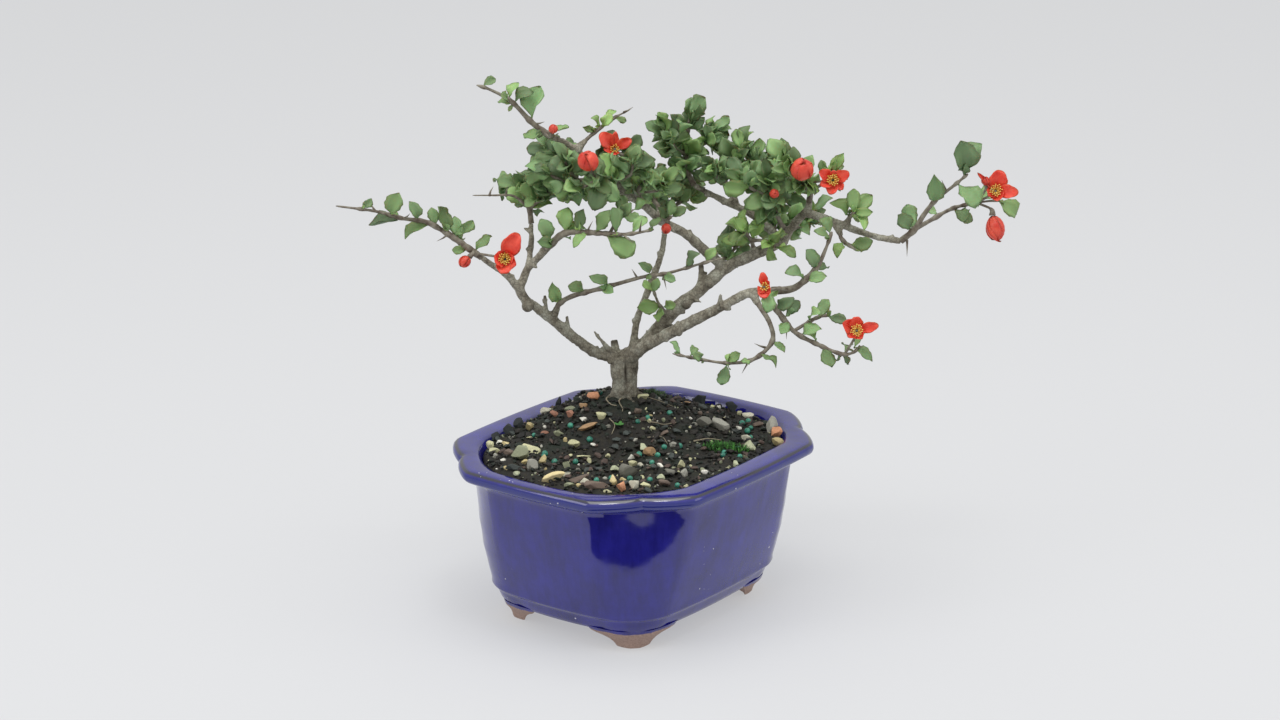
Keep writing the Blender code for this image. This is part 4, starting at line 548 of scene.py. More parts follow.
# The larger ones as they lie: across, along, length, width, height, turn in degrees, colour.
STONES = (
    (12, 39, 9, 7, 6, -54, ORANGE), (2, 68, 7, 5, 5, -54, PEARL), (-6, 54, 7, 5, 4, -44, RUST),
    (-1, 46, 8, 5, 4, -44, OLIVE), (0, 38, 5, 4, 5, -54, TAN), (-25, 60, 9, 6, 5, 6, SAND),
    (-22, 50, 2.5, 2, 3, -54, WHITE), (-30, 68, 5, 2, 2, -24, CREAM), (-21, 69, 3.5, 3, 3, -54, CREAM),
    (-12, 29, 5, 4, 3, -74, WHITE), (-6, 20, 8, 5, 4, -44, CREAM), (-51, 62, 4, 3, 4, -34, WHITE),
    (-52, 57, 5, 4, 4, -54, BUFF), (-63, 60, 5, 4, 6, -54, CREAM), (-68, 54, 8, 4, 4, -54, CREAM),
    (-64, 45, 6, 5, 5, -54, BROWN), (-67, 34, 10, 8, 11, -54, OLIVE), (-51, 38, 11, 7, 6, -89, CREAM),
    (-64, 19, 5, 4, 7, -54, BUFF), (-74, 41, 5, 3, 2, -29, WHITE), (-69, 28, 5, 4, 4, -54, SAND),
    (-76, 18, 8, 6, 7, -54, STONE_GREY), (-89, 19, 5, 4, 3, -54, PALE_OLIVE),
    (-85, -4, 15, 6, 5.5, -54, BUFF), (-71, -3, 8, 4, 3.5, -39, PEARL), (-61, 4, 6, 5, 5, -54, OLIVE),
    (-35, 18, 8, 6, 7, -34, CREAM), (-27, 9, 5, 3, 2, -24, WHITE), (-39, 7, 10, 4, 2, -26, CREAM),
    (-44, 0, 4, 3, 4, -54, CREAM), (-33, -5, 3.5, 3, 3, -54, CREAM),
    (-48, -22, 7, 5, 4.5, -54, PALE_OLIVE), (-78, -23, 6, 5, 4, -54, PEARL),
    (-66, -34, 7, 5, 6, -84, BUFF), (-72, -44, 6, 5, 7, -34, ORANGE), (-79, -40, 5, 3, 2.5, -54, CREAM),
    (-60, -37, 4, 3, 4, -54, BUFF), (-71, 49, 2.5, 2, 3, -54, STONE_GREY),
    (-27, 36, 6, 4, 3.5, -54, OLIVE), (-78, 48, 2.5, 2, 3, -54, CREAM), (-33, 11, 3, 2, 2, -54, CREAM),
    (-36, 51, 3.5, 2, 2, -34, CREAM), (-85, -17, 7, 4, 3, -54, OLIVE), (-28, 46, 5, 4, 3, -24, RUST),
    (27, 13, 8, 5, 4, -54, CREAM), (63, 6, 11, 5, 4, -62, TAN), (87, 3, 3, 3, 3, -54, CREAM),
    (88, -1, 3, 2, 3, -54, WHITE), (82, -1, 3, 2, 2, -54, OLIVE), (88, -17, 5, 4, 3, -74, CREAM),
    (88, -23, 7, 5, 4, -74, PEARL), (62, -34, 4, 3, 3, -84, WHITE), (72, -51, 9, 7, 11, -54, STONE_GREY),
    (54, -67, 9, 7, 6, -54, SAND), (65, -59, 9, 6, 9, -94, ORANGE), (50, -48, 6, 5, 4, -54, PEARL),
    (37, -60, 8, 6, 7, -94, PALE_OLIVE), (44, -22, 11, 8, 8, -40, GREY),
    (50, -29, 12, 6, 11, -90, STONE_GREY), (3, -27, 5, 4, 4, -54, STONE_GREY),
    (-12, -16, 6, 5, 5, -54, PALE_OLIVE), (-15, -23, 7, 5, 7, -54, TAN), (-25, -17, 5, 4, 4, -54, WHITE),
    (-30, -21, 6, 4, 3.5, -54, CREAM), (-31, -28, 4, 3, 3, -94, PEARL), (-25, -38, 5, 3, 3, -89, WHITE),
    (-32, -50, 8, 6, 5.5, -54, GREY), (-19, -49, 6, 5, 6, -34, CREAM),
    (-27, -57, 6, 5, 5, -54, STONE_GREY), (-50, -34, 11, 9, 10, -54, GREY),
    (-43, -51, 6, 5, 4, -54, PALE_OLIVE), (-50, -59, 7, 5, 6, -54, BROWN), (-64, -48, 8, 6, 8, -29, PEARL),
    (-59, -52, 6, 4, 4, -54, CREAM), (-18, -66, 5, 3, 3.5, -39, WHITE), (7, -70, 4, 3, 4, -54, PALE_OLIVE),
    (-2, -70, 2.5, 2, 3, -54, CREAM), (49, -35, 4, 3, 3, -84, PALE_OLIVE),
    (40, -14, 2.5, 2, 2, -54, WHITE), (-10, -8, 5, 2, 2, -39, STONE_GREY), (77, -39, 9, 5, 4, -64, BROWN),
    (22, -66, 4, 3, 3, -54, OLIVE), (-7, -31, 3, 2, 2, -84, STONE_GREY), (8, -17, 8, 4, 3, -44, BROWN),
    (12, 6, 5, 4, 5, -54, BROWN),
)
# Bark chips: some lie flat, and the dark ones stand on edge against the wall.
BARK = (
    (-17, 23, 15, 6, 4, -74, TAN), (-75, -15, 19, 8, 4.5, -29, BROWN), (-78, -31, 14, 7, 5, -36, BROWN),
    (-85, 25, 8, 5, 5, -54, SLATE), (-8, 41, 6, 4, 5, -54, RUST), (17, 70, 5, 3.5, 9, -54, CHARCOAL),
    (-34, 69, 7, 4, 9, -44, CHARCOAL), (-45, 69, 6, 3.5, 6, -54, CHARCOAL),
    (89, 13, 9, 5, 8, -84, CHARCOAL), (89, -10, 8, 5, 9, -40, CHARCOAL), (-22, 70, 7, 4, 7, -74, CHARCOAL),
    (62, 63, 7, 4, 6, -20, CHARCOAL),
)
rng = random.Random(21)
bm = bmesh.new()
tint = bm.verts.layers.float_color.new("stone_colour")
taken = []
for x, y, length, width, height, turn, colour in STONES + BARK:
    size = Vector((length, width, height)) * STONE_HALF
    spot = ground(x, y) + Vector((0, 0, height * STONE_LIFT)) * MM
    shade = shade_of(colour, rng, 0.12)
    faceted(bm, spot, size, math.radians(turn), cuts=9, level=3, colour=shade, layer=tint, rng=rng)
    taken.append((x, y, (length + width) * 0.22))
# Each grade that was strewn: how many, the shortest and the longest, height over length, how finely
# it is cut, how high its middle stands for its length, and its colours.
GRADES = (
    (70, 2.4, 4.4, 0.8, 2, 0.12, (CREAM, SAND, OLIVE, OLIVE, GREY, STONE_GREY, BROWN, SLATE)),
    (260, 1.1, 2.5, 0.8, 1, 0.15, (CREAM, OLIVE, GREY, STONE_GREY, WHITE, SLATE, BROWN, SLATE, OLIVE)),
    (430, 3.0, 7.5, 0.4, 1, 0.20, (BARK_DARK, BARK_DARK, BARK_BLACK, BARK_BLACK, "#1e2a20", BARK_RED, SLATE)),
    (1500, 1.4, 3.6, 0.8, 1, 0.22, (BARK_DARK, "#1d1a16", BARK_BLACK, "#19231b", "#272b20", "#131c16")),
)
for count, shortest, longest, flatness, level, lift, colours in GRADES:
    placed = 0
    while placed < count:
        x, y = rng.uniform(-92, 92), rng.uniform(-73, 73)
        length = rng.uniform(shortest, longest)
        # stones were strewn more thickly at the left and along the near sides than at the back
        if level == 2 and rng.random() > 0.5 - 0.005 * x:
            continue
        if not inside_wall(x, y, length * 0.5) or from_trunk(x, y) < TRUNK_CLEARANCE:
            continue
        if colours[0] == CREAM and any(math.hypot(x - a, y - b) < r + length * 0.5 for a, b, r in taken):
            continue
        size = Vector((length, length * rng.uniform(0.6, 0.85), length * flatness)) / 2
        spot = ground(x, y) + Vector((0, 0, length * lift)) * MM
        turn, shade = rng.uniform(0, math.tau), shade_of(rng.choice(colours), rng)
        faceted(bm, spot, size, turn, cuts=4, level=level, colour=shade, layer=tint, rng=rng)
        placed += 1
bmesh.ops.recalc_face_normals(bm, faces=bm.faces)
gravel, tree, shader, place = start_material("river_gravel_and_bark", IOR=1.5)
own = add(tree, "Attribute", {"attribute_name": "stone_colour"})
mineral = add(tree, "TexNoise", {"Scale": 900, "Detail": 5, "Roughness": 0.7}, {"Vector": place})
speckle = add(tree, "MapRange", {"To Min": 0.55, "To Max": 1.35}, {"Value": mineral})
veined = add(tree, "Mix", {"data_type": "RGBA", "blend_type": "MULTIPLY", 0: 1.0}, {6: own, 7: speckle})
worn = add(tree, "MapRange", {"To Min": 0.5, "To Max": 0.9}, {"Value": mineral})
rough = add(tree, "Bump", {"Strength": 0.6, "Distance": 0.0003}, {"Height": mineral})
feed(tree, shader, {"Base Color": veined, "Roughness": worn, "Normal": rough})
stones = finished("stones_and_bark", bm, gravel, smooth=False)
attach(stones, "root")

# Fertiliser prills. Balls of slow-release fertiliser about 4 mm across, coated in resin that is dyed
# blue-green, were scattered over the soil by hand.
PRILL_COUNT = 30
PRILLS = (
    (-58, 15), (-52, 27), (-33, 50), (-19, 33), (3, -1), (73, -29), (77, -31), (18, -54), (-3, -25),
    (6, -30), (-20, -19), (-25, -32), (-49, -48), (-45, -65), (29, -6), (68, -39), (12, -2), (-25, 14),
    (20, -64),
)
bm = bmesh.new()
prill_spots = list(PRILLS)
while len(prill_spots) < PRILL_COUNT:
    x, y = rng.uniform(-80, 80), rng.uniform(-64, 64)
    if inside_wall(x, y, 4) and from_trunk(x, y) > TRUNK_CLEARANCE + 3:
        prill_spots.append((x, y))
for x, y in prill_spots:
    radius = rng.uniform(1.5, 2.0)
    spot = ground(x, y) + Vector((0, 0, radius * rng.uniform(0.35, 0.8))) * MM
    bmesh.ops.create_icosphere(bm, subdivisions=2, radius=radius * MM, matrix=Matrix.Translation(spot))
resin, tree, shader, place = start_material(
    "resin_coated_fertiliser", IOR=1.5, Roughness=0.35, Subsurface_Weight=0.2, Subsurface_Scale=0.001,
)
mottle = add(tree, "TexNoise", {"Scale": 330, "Detail": 3}, {"Vector": place})
teal = add(tree, "ValToRGB", None, {"Fac": mottle}, ((0.3, "#17584c"), (0.7, "#4fa68c")))
feed(tree, shader, {"Base Color": teal})
prills = finished("fertiliser_prills", bm, resin)
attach(prills, "root")


# Moss, a seedling and loose roots. A cushion of bright moss grows at the near right, with duller tufts
# behind; a weed seedling and pale surface roots lie in front of the trunk.
def flowing(points, spacing):
    """Spots at an even spacing on a smooth line through some points."""
    spots = []
    for i in range(len(points) - 1):
        a, b = points[i], points[i + 1]
        lead = (b - points[i - 1]) / 2 if i else b - a
        trail = (points[i + 2] - a) / 2 if i + 2 < len(points) else b - a
        steps = max(2, round((b - a).length / (spacing * MM)))
        for k in range(steps):
            t = k / steps
            spots.append(
                a * (2 * t ** 3 - 3 * t ** 2 + 1) + lead * (t ** 3 - 2 * t ** 2 + t)
                + b * (3 * t ** 2 - 2 * t ** 3) + trail * (t ** 3 - t ** 2)
            )
    return spots + [points[-1]]


def stem(bm, spots, radii, sides):
    """Draws a round stem through a line of spots with a radius in millimetres at each."""
    rings = []
    across = (spots[1] - spots[0]).orthogonal().normalized()
    for i, spot in enumerate(spots):
        way = (spots[min(i + 1, len(spots) - 1)] - spots[max(i - 1, 0)]).normalized()
        across = (across - way * across.dot(way)).normalized()
        side = way.cross(across)
        ring = []
        for k in range(sides):
            angle = math.tau * k / sides
            ring.append(spot + (across * math.cos(angle) + side * math.sin(angle)) * radii[i] * MM)
        rings.append(ring)
    drawn_out(bm, rings)


# Moss: across, along, how wide and deep the patch is, how many tufts, their colour.
MOSS = ((27, -49, 14, 6.5, 330, "#4b8a3a"), (70, 34, 8, 6, 150, "#5f7a58"), (44, 16, 7, 5, 90, "#55704c"))
# A seedling: where it stands, and the turn and length of each of its leaves.
SEEDLING = (-6, 6)
SEEDLING_LEAVES = ((0.4, 4.2), (1.9, 3.6), (3.3, 4.4), (4.6, 3.4), (5.6, 3.0))
# Loose roots: how thick, and the places they pass.
SURFACE_ROOTS = (
    (0.5, ((15, 30), (9, 27), (6, 21), (6, 17))), (0.4, ((17, 21), (11, 19), (8, 14), (5, 12))),
    (0.4, ((9, -5), (12, -9), (16, -11), (22, -16))), (0.6, ((19, -31), (28, -35), (38, -38))),
    (0.35, ((-4, 15), (-8, 8), (-15, 5))), (0.3, ((30, 16), (34, 6), (41, 0))),
    (0.35, ((-2, -12), (4, -18), (2, -24))), (0.4, ((46, 34), (56, 30), (64, 22))),
)
rng = random.Random(8)
bm = bmesh.new()
tint = bm.verts.layers.float_color.new("stone_colour")
patch_turn = Matrix.Rotation(math.radians(-54), 3, "Z")
for x, y, wide, deep, count, colour in MOSS:
    for _ in range(count):
        turn, share = rng.uniform(0, math.tau), math.sqrt(rng.random())
        off = patch_turn @ Vector((math.cos(turn) * wide, math.sin(turn) * deep, 0)) * share
        foot = ground(x + off.x, y + off.y) + Vector((0, 0, 2.2 * (1 - share ** 2) - 0.3)) * MM
        lean = Matrix.Rotation(rng.uniform(-0.6, 0.6), 4, "X") @ Matrix.Rotation(rng.uniform(-0.6, 0.6), 4, "Y")
        tall = rng.uniform(2.0, 3.6) * MM
        spike = bmesh.ops.create_cone(
            bm, cap_ends=True, segments=4, radius1=0.55 * MM, radius2=0.05 * MM, depth=tall,
            matrix=Matrix.Translation(foot) @ lean @ Matrix.Translation((0, 0, tall / 2)),
        )
        tuft = shade_of(colour, rng, 0.12)
        sunlit = rng.uniform(0.25, 1.15) * (1.15 if math.sin(off.x * 0.9) * math.sin(off.y * 1.1) > 0 else 0.45)
        for vert in spike["verts"]:
            vert[tint] = [channel * sunlit for channel in tuft[:3]] + [1.0]
for turn, length in SEEDLING_LEAVES:
    foot = ground(*SEEDLING) + Vector((0, 0, 1.6)) * MM
    placing = Matrix.Translation(foot) @ Matrix.Rotation(turn, 4, "Z") @ Matrix.Rotation(-0.35, 4, "Y")
    half = length * 0.5
    shape = placing @ Matrix.Translation((half * MM, 0, 0)) @ Matrix.Diagonal((half, 1.1, 0.35, 1))
    for vert in bmesh.ops.create_icosphere(bm, subdivisions=2, radius=MM, matrix=shape)["verts"]:
        vert[tint] = linear("#477f3c")
moss_verts = len(bm.verts)
for radius, points in SURFACE_ROOTS:
    raised = [ground(x, y) + Vector((0, 0, 1.0 + 0.8 * (i % 2))) * MM for i, (x, y) in enumerate(points)]
    spots = flowing(raised, 2.0)
    stem(bm, spots, [radius * (1 - 0.5 * i / len(spots)) for i in range(len(spots))], 6)
bm.verts.ensure_lookup_table()
for vert in bm.verts[moss_verts:]:
    vert[tint] = linear("#8d8470")
bmesh.ops.recalc_face_normals(bm, faces=bm.faces)
growth, tree, shader, place = start_material("moss_and_root", Roughness=0.8)
own = add(tree, "Attribute", {"attribute_name": "stone_colour"})
fleck = add(tree, "TexNoise", {"Scale": 1200, "Detail": 3}, {"Vector": place})
uneven = add(tree, "MapRange", {"To Min": 0.6, "To Max": 1.4}, {"Value": fleck})
flecked = add(tree, "Mix", {"data_type": "RGBA", "blend_type": "MULTIPLY", 0: 1.0}, {6: own, 7: uneven})
fleck_bump = add(tree, "Bump", {"Strength": 0.4, "Distance": 0.0002}, {"Height": fleck})
feed(tree, shader, {"Base Color": flecked, "Normal": fleck_bump})
moss = finished("moss_and_roots", bm, growth)
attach(moss, "root")


# The wood. Two stems grown together stand on flared roots and part into the limbs: old quince bark,
# grey-brown and finely furrowed, with pruned stubs, healed wounds and short spurs, grown in one piece.
TREE_TURN = Matrix.Rotation(math.radians(-53.7), 3, "Z")
# Limbs: the radius at the root and at the tip, and the places they pass, in the tree's own frame.
LIMBS = {
    "trunk": (7.9, 7.0, ((0, 0, 2), (0, 0, 27), (-1, 0, 36), (-1, 0, 43))),
    "second_stem": (4.2, 5.0, ((3.5, 2, 8), (4, 2, 28), (4, 1, 37), (2, 0, 45))),
    "pruned_stub": (3.6, 2.6, ((-3, 1, 40), (-5, 3, 46), (-6, 5, 51))),
    "dead_spur": (2.4, 0.9, ((-5, -1, 43), (-12, -5, 52), (-18, -6, 60))),
    "left": (4.2, 3.4, (
        (-2, 0, 41), (-16, -3, 45), (-28, -8, 55), (-42, -14, 69), (-53, -18, 79), (-60, -21, 86),
        (-63, -22, 95),
    )),
    "left_spur_low": (1.8, 1.2, ((-33, -10, 60), (-34, -12, 71))),
    "left_spur_high": (1.8, 1.2, ((-46, -16, 73), (-47, -18, 86))),
    "left_long": (3.2, 2.0, ((-62, -22, 91), (-70, -24, 101), (-78, -26, 107), (-84, -28, 112))),
    "left_rise": (3.2, 2.4, ((-62, -22, 91), (-57, -20, 103), (-51, -22, 110), (-44, -28, 119))),
    "left_inner": (2.4, 1.9, ((-57, -20, 102), (-55, -14, 117), (-55, -9, 128))),
    "upright": (3.0, 2.1, ((5, 2, 43), (8, 11, 61), (13, 18, 74), (18, 24, 85), (23, 30, 98), (25, 36, 110))),
    "right": (5.8, 3.9, (
        (0, 0, 41), (13, 4, 49), (31, 8, 69), (47, 12, 81), (63, 16, 94), (84, 20, 103), (99, 24, 109),
    )),
    "right_stub": (2.6, 2.0, ((44, 11, 79), (47, 15, 87), (47, 18, 95))),
    "right_end": (3.6, 2.4, ((97, 24, 108), (104, 22, 120), (111, 18, 129), (112, 16, 135))),
    "right_shoot": (3.0, 2.3, ((110, 19, 127), (122, 14, 125), (137, 10, 120), (151, 6, 116), (167, 2, 114))),
    "crossing": (3.9, 2.0, (
        (62, 16, 93), (48, 10, 107), (37, 5, 118), (23, 0, 127), (11, -5, 139), (-2, -8, 148),
        (-13, -10, 158), (-28, -12, 174), (-42, -13, 182),
    )),
    "lower_right": (4.9, 3.1, (
        (3, -1, 41), (11, -8, 50), (22, -14, 58), (41, -20, 70), (59, -25, 81), (74, -28, 90),
        (88, -30, 92),
    )),
    "lower_spur": (2.0, 1.4, ((57, -24, 80), (58, -27, 89))),
    "crown": (3.3, 2.0, ((97, 23, 108), (79, 32, 122), (68, 36, 127), (54, 40, 133), (43, 44, 138))),
}
# Flared roots, which taper to the soil from the radius given.
ROOTS = (
    (1.8, ((-6, -1, 19), (-10, -4, 16), (-17, -8, 13))),
    (1.4, ((3, -6, 18), (6, -10, 15.5), (12, -15, 12))), (1.6, ((7, 3, 19), (11, 5, 16), (17, 8, 12))),
    (1.1, ((-2, -7, 17), (-4, -12, 15), (-9, -19, 13))), (1.6, ((-4, 6, 19), (-7, 9, 16), (-10, 14, 12))),
)
# Wounds where twigs were cut off flush: their place and how wide they are.
SCARS = (
    ((-57, -24, 81), 3.4), ((20, 1, 55), 2.2), ((38, 3, 74), 2.6), ((52, 6, 86), 2.2),
    ((33, -22, 64), 2.2),
)
SPUR_LENGTH = 9.5
# How slender the limbs are under their bark, and where the slit between the stems is, from the middle.
SLENDER = 0.83
SLIT, SLIT_HALF_WIDTH, SLIT_DEPTH = 1.6, 0.9, 2.4
SLIT_TOP, SLIT_MIDDLE = 44, 33
BARK_VOXEL = 0.70


def in_tree(point):
    """A point of the tree's own frame, which is right, back and up from the rim, in the world."""
    return rim_centre + (TREE_TURN @ Vector(point) + TRUNK_FOOT) * MM


# Sprays: the limb that carries each, with the place of its spur if it doesn't grow from the limb's
# tip; its twigs, written as the limbs are; and the stalks of its blooms, each by its start, the
# bloom's seat, the way the bloom points and the calyx's radius.
SPRAYS = {
    "left_long": (("left_long",), (
        (1.9, 0.8, ((-96, -31, 122), (-105, -33, 129), (-116, -36, 136), (-130, -39, 139),
            (-145, -42, 144), (-168, -45, 148))),
    ), (
        ((-88, -29, 115), (-69.5, -40, 114), (5, -8, -1), 2.4),
        ((-90, -29, 117), (-91, -34, 114), (-5, -3, -5), 1.8),
    )),
    "left_inner": (("left_inner",), (
        (1.8, 1.0, ((-56, -5, 136), (-57, 0, 143), (-61, 4, 149), (-65, 6, 151))),
        (1.1, 0.5, ((-56, -5, 136), (-65, -14, 146), (-77, -20, 148), (-89, -24, 149))),
        (1.3, 0.8, ((-56, -5, 136), (-48, -13, 145), (-43, -19, 150))),
    ), ()),
    "left_rise": (("left_rise",), (
        (2.2, 0.8, ((-35, -33, 128), (-21, -38, 130), (-4, -42, 130), (6, -44, 131), (18, -46, 134))),
        (1.1, 0.8, ((-8, -41, 130), (-3, -35, 137), (6, -31, 142))),
    ), ()),
    "thin_cross": (("left", (-43, -14, 70)), (
        (1.7, 0.8, ((-38, -18, 81), (-29, -22, 87), (-12, -27, 93), (11, -32, 101), (26, -34, 104),
            (46, -38, 111), (59, -40, 115))),
    ), ()),
    "upright": (("upright",), (
        (2.0, 1.0, ((26, 42, 121), (22, 50, 132), (14, 58, 140))),
        (1.3, 0.8, ((26, 42, 121), (36, 54, 126), (42, 66, 128))),
    ), ()),
    "upper_left": (("crossing",), (
        (2.0, 0.9, ((-48, -14, 186), (-55, -14, 192), (-66, -15, 204), (-78, -16, 211), (-86, -17, 214))),
    ), (
        ((-48, -14, 186), (-42, -19, 186), (2, -3, 6), 1.5),
    )),
    "upper_twig": (("crossing", (-28, -12, 174)), (
        (1.3, 0.6, ((-17, -2, 182), (-6, 4, 189), (2, 6, 193))),
    ), ()),
    "middle_left": (("crossing", (-13, -10, 158)), (
        (1.5, 0.9, ((-26, -17, 156), (-35, -22, 157), (-43, -22, 161))),
        (1.2, 0.8, ((-26, -17, 156), (-31, -28, 164), (-34, -30, 171))),
    ), ()),
    "middle_front": (("crossing", (-2, -8, 148)), (
        (1.5, 0.9, ((-6, -24, 157), (-14, -33, 160), (-24, -37, 157))),
        (1.2, 0.8, ((-6, -24, 157), (4, -26, 162), (6, -28, 169))),
    ), (
        ((-14, -33, 160), (-19, -42, 170), (-2, -5, 7), 2.2),
    )),
    "middle_top": (("crossing", (-20, -11, 165)), (
        (1.4, 0.9, ((-14, -6, 170), (-6, -4, 171), (3, -6, 167))),
    ), (
        ((-9, -5, 171), (-5, -12, 174), (-1, -3, 8), 2.2),
    )),
    "middle_back": (("crossing", (-28, -12, 173)), (
        (1.4, 0.9, ((-35, -2, 166), (-41, 8, 163), (-45, 14, 165))),
    ), ()),
    "centre": (("crossing", (11, -5, 139)), (
        (1.4, 0.9, ((8, -14, 148), (12, -18, 156), (10, -22, 162))),
        (1.1, 0.8, ((8, -14, 148), (20, -16, 150), (24, -18, 156))),
    ), ()),
    "centre_front": (("crossing", (23, 0, 127)), (
        (1.1, 0.8, ((26, -11, 131), (29, -16, 134))),
    ), (
        ((26, -11, 131), (26, -15, 129), (-1, -4, -4), 1.6),
    )),
    "centre_back": (("crossing", (23, 0, 127)), (
        (1.5, 0.9, ((20, 14, 134), (12, 26, 140), (0, 36, 143))),
    ), ()),
    "crown_top": (("crown",), (
        (2.0, 1.0, ((39, 47, 146), (38, 49, 156), (39, 51, 167), (40, 51, 178))),
        (1.3, 0.8, ((38, 49, 156), (31, 44, 162), (26, 42, 169))),
        (1.3, 0.8, ((38, 49, 156), (48, 53, 161), (55, 55, 168))),
        (1.2, 0.8, ((39, 47, 146), (30, 39, 146), (25, 34, 141))),
    ), ()),
    "crown_right": (("crown", (68, 36, 127)), (
        (1.8, 0.9, ((66, 41, 139), (68, 46, 148), (72, 50, 159))),
        (1.2, 0.8, ((66, 41, 139), (58, 34, 145), (53, 30, 152))),
        (1.2, 0.8, ((68, 46, 148), (78, 48, 150), (88, 48, 154))),
    ), ()),
    "crown_back": (("crown", (84, 30, 118)), (
        (1.6, 0.9, ((86, 44, 126), (84, 58, 136), (78, 68, 146))),
        (1.2, 0.8, ((86, 44, 126), (98, 54, 130), (106, 62, 134))),
    ), ()),
    "right_rise": (("right_end", (99, 24, 112)), (
        (1.6, 0.9, ((93, 16, 126), (88, 10, 139), (86, 6, 152))),
        (1.2, 0.8, ((88, 10, 139), (78, 10, 144), (72, 12, 151))),
    ), (
        ((88, 10, 139), (90, 0, 144), (1, -8, 2), 1.7),
    )),
    "right_end": (("right_end",), (
        (2.0, 0.9, ((112, 13, 142), (104, 6, 152), (95, 3, 163))),
        (1.2, 0.8, ((112, 13, 142), (122, 10, 149), (126, 8, 156))),
    ), (
        ((104, 6, 152), (105.5, -4, 156), (1, -6, 6), 2.2),
        ((107, 8.5, 148), (125, -1, 152), (2, -8, 1), 2.2),
    )),
    "shoulder": (("right_shoot", (134, 11, 121)), (
        (1.3, 0.9, ((136, 5, 128), (139, 2, 132))),
    ), ()),
    "under_shoot": (("right_shoot", (128, 12, 123)), (
        (1.3, 0.9, ((132, 4, 114), (140, 0, 109))),
    ), ()),
    "right_tip": (("right_shoot",), (
        (2.1, 0.9, ((175, 0, 122), (180, -1, 131), (187, -3, 141), (197, -5, 150), (205, -8, 158))),
        (1.5, 0.8, ((175, 0, 122), (185, 6, 126), (198, 7, 133), (212, 5, 137), (226, 4, 139))),
    ), (
        ((212, 5, 137), (222, -3, 146), (6, -5, 7), 2.1),
        ((212, 5, 137), (216, -5, 151), (-1, -4, 8), 1.3),
        ((212, 5, 137), (221, -2, 131), (2, -3, -8), 2.1),
    )),
    "bright": (("right", (80, 19, 101)), (
        (1.5, 0.9, ((77, 8, 113), (72, 0, 121))),
        (1.2, 0.8, ((77, 8, 113), (86, 2, 114), (92, -2, 111))),
    ), ()),
    "sucker": (("right", (27, 7, 64)), (
        (1.2, 0.8, ((21, 0, 76), (18, -4, 85))),
    ), ()),
    "lower_rise": (("lower_right",), (
        (2.6, 0.9, ((98, -31, 93), (105, -30, 96), (115, -28, 106), (120, -25, 116), (124, -21, 126))),
        (1.2, 0.8, ((98, -31, 93), (92, -42, 97), (84, -50, 98))),
    ), (
        ((92, -42, 97), (83, -47, 99), (-2, -5, 5), 1.5),
    )),
    "lower_right": (("lower_right", (84, -29, 92)), (
        (1.9, 0.9, ((93, -38, 80), (101, -43, 71), (113, -47, 65), (131, -51, 59), (142, -53, 65))),
        (1.2, 0.8, ((101, -43, 71), (114, -40, 78), (122, -40, 80))),
    ), (
        ((131, -51, 59), (137, -60, 76), (1, -3, 8), 2.2),
    )),
    "return": (("lower_right", (76, -28, 91)), (
        (1.7, 0.7, ((87, -41, 75), (88, -46, 65), (77, -51, 56), (62, -52, 54), (45, -54, 57),
        (29, -56, 61))),
    ), ()),
    "back_right": (("right", (88, 21, 105)), (
        (1.7, 0.9, ((92, 40, 108), (92, 56, 114), (88, 72, 120))),
        (1.2, 0.8, ((92, 40, 108), (106, 48, 112), (116, 52, 118))),
    ), ()),
    "back_left": (("right", (56, 14, 88)), (
        (1.7, 0.9, ((58, 30, 92), (66, 44, 95), (72, 57, 100))),
    ), ()),
}
bm = bmesh.new()
for name, (start, end, points) in LIMBS.items():
    spots = flowing([in_tree(p) for p in points], 2.2)
    radii = []
    slender = 1 if name in ("trunk", "second_stem") else SLENDER
    for i, spot in enumerate(spots):
        knot = noise.noise(spot / (9 * MM)) * 0.16 + noise.noise(spot / (4 * MM)) * 0.07
        radii.append((start + (end - start) * i / (len(spots) - 1)) * (1 + knot) * slender)
    stem(bm, spots, radii, 16)
for radius, points in ROOTS:
    spots = flowing([in_tree(p) for p in points], 2.0)
    stem(bm, spots, [radius * (1 - 0.6 * i / (len(spots) - 1)) for i in range(len(spots))], 12)
for on, twigs, _ in SPRAYS.values():
    if len(on) == 2:
        root = in_tree(on[1])
        way = (in_tree(twigs[0][2][0]) - root).normalized()
        spots = [root + way * SPUR_LENGTH * MM * share for share in (0, 0.3, 0.6, 0.8, 1)]
        stem(bm, spots, [3.0, 2.7, twigs[0][0] + 0.7, twigs[0][0] + 0.5, twigs[0][0] + 0.15], 12)
# Buds and the stubs of fallen twigs sit along every limb, a finger's width apart.
rng = random.Random(5)
for start, end, points in LIMBS.values():
    spots = flowing([in_tree(p) for p in points], 2.2)
    for i in range(rng.randrange(3, 6), len(spots) - 2, 5):
        way = (spots[i + 1] - spots[i]).normalized()
        radius = (start + (end - start) * i / len(spots)) * SLENDER
        out = (Matrix.Rotation(rng.uniform(0, math.tau), 3, way) @ way.orthogonal()).normalized()
        foot = spots[i] + out * (radius - 0.8) * MM
        tall = rng.choice((0.9, 1.2, 1.6, 3.0))
        wide = rng.uniform(1.0, 1.5)
        tip = foot + (out + way * 0.5) * (0.8 + tall) * MM
        stem(bm, [foot, foot.lerp(tip, 0.5), tip], [wide * 1.6, wide, wide * 0.55], 8)
for spot, wide in SCARS:
    lip = Matrix.Translation(in_tree(spot))
    bmesh.ops.create_icosphere(bm, subdivisions=2, radius=(wide + 0.6) * MM, matrix=lip)
bmesh.ops.recalc_face_normals(bm, faces=bm.faces)
rough = finished("wood_rough", bm)
grown = rough.modifiers.new("grown_together", "REMESH")
grown.mode = "VOXEL"
grown.voxel_size = BARK_VOXEL * MM
bpy.context.view_layer.update()
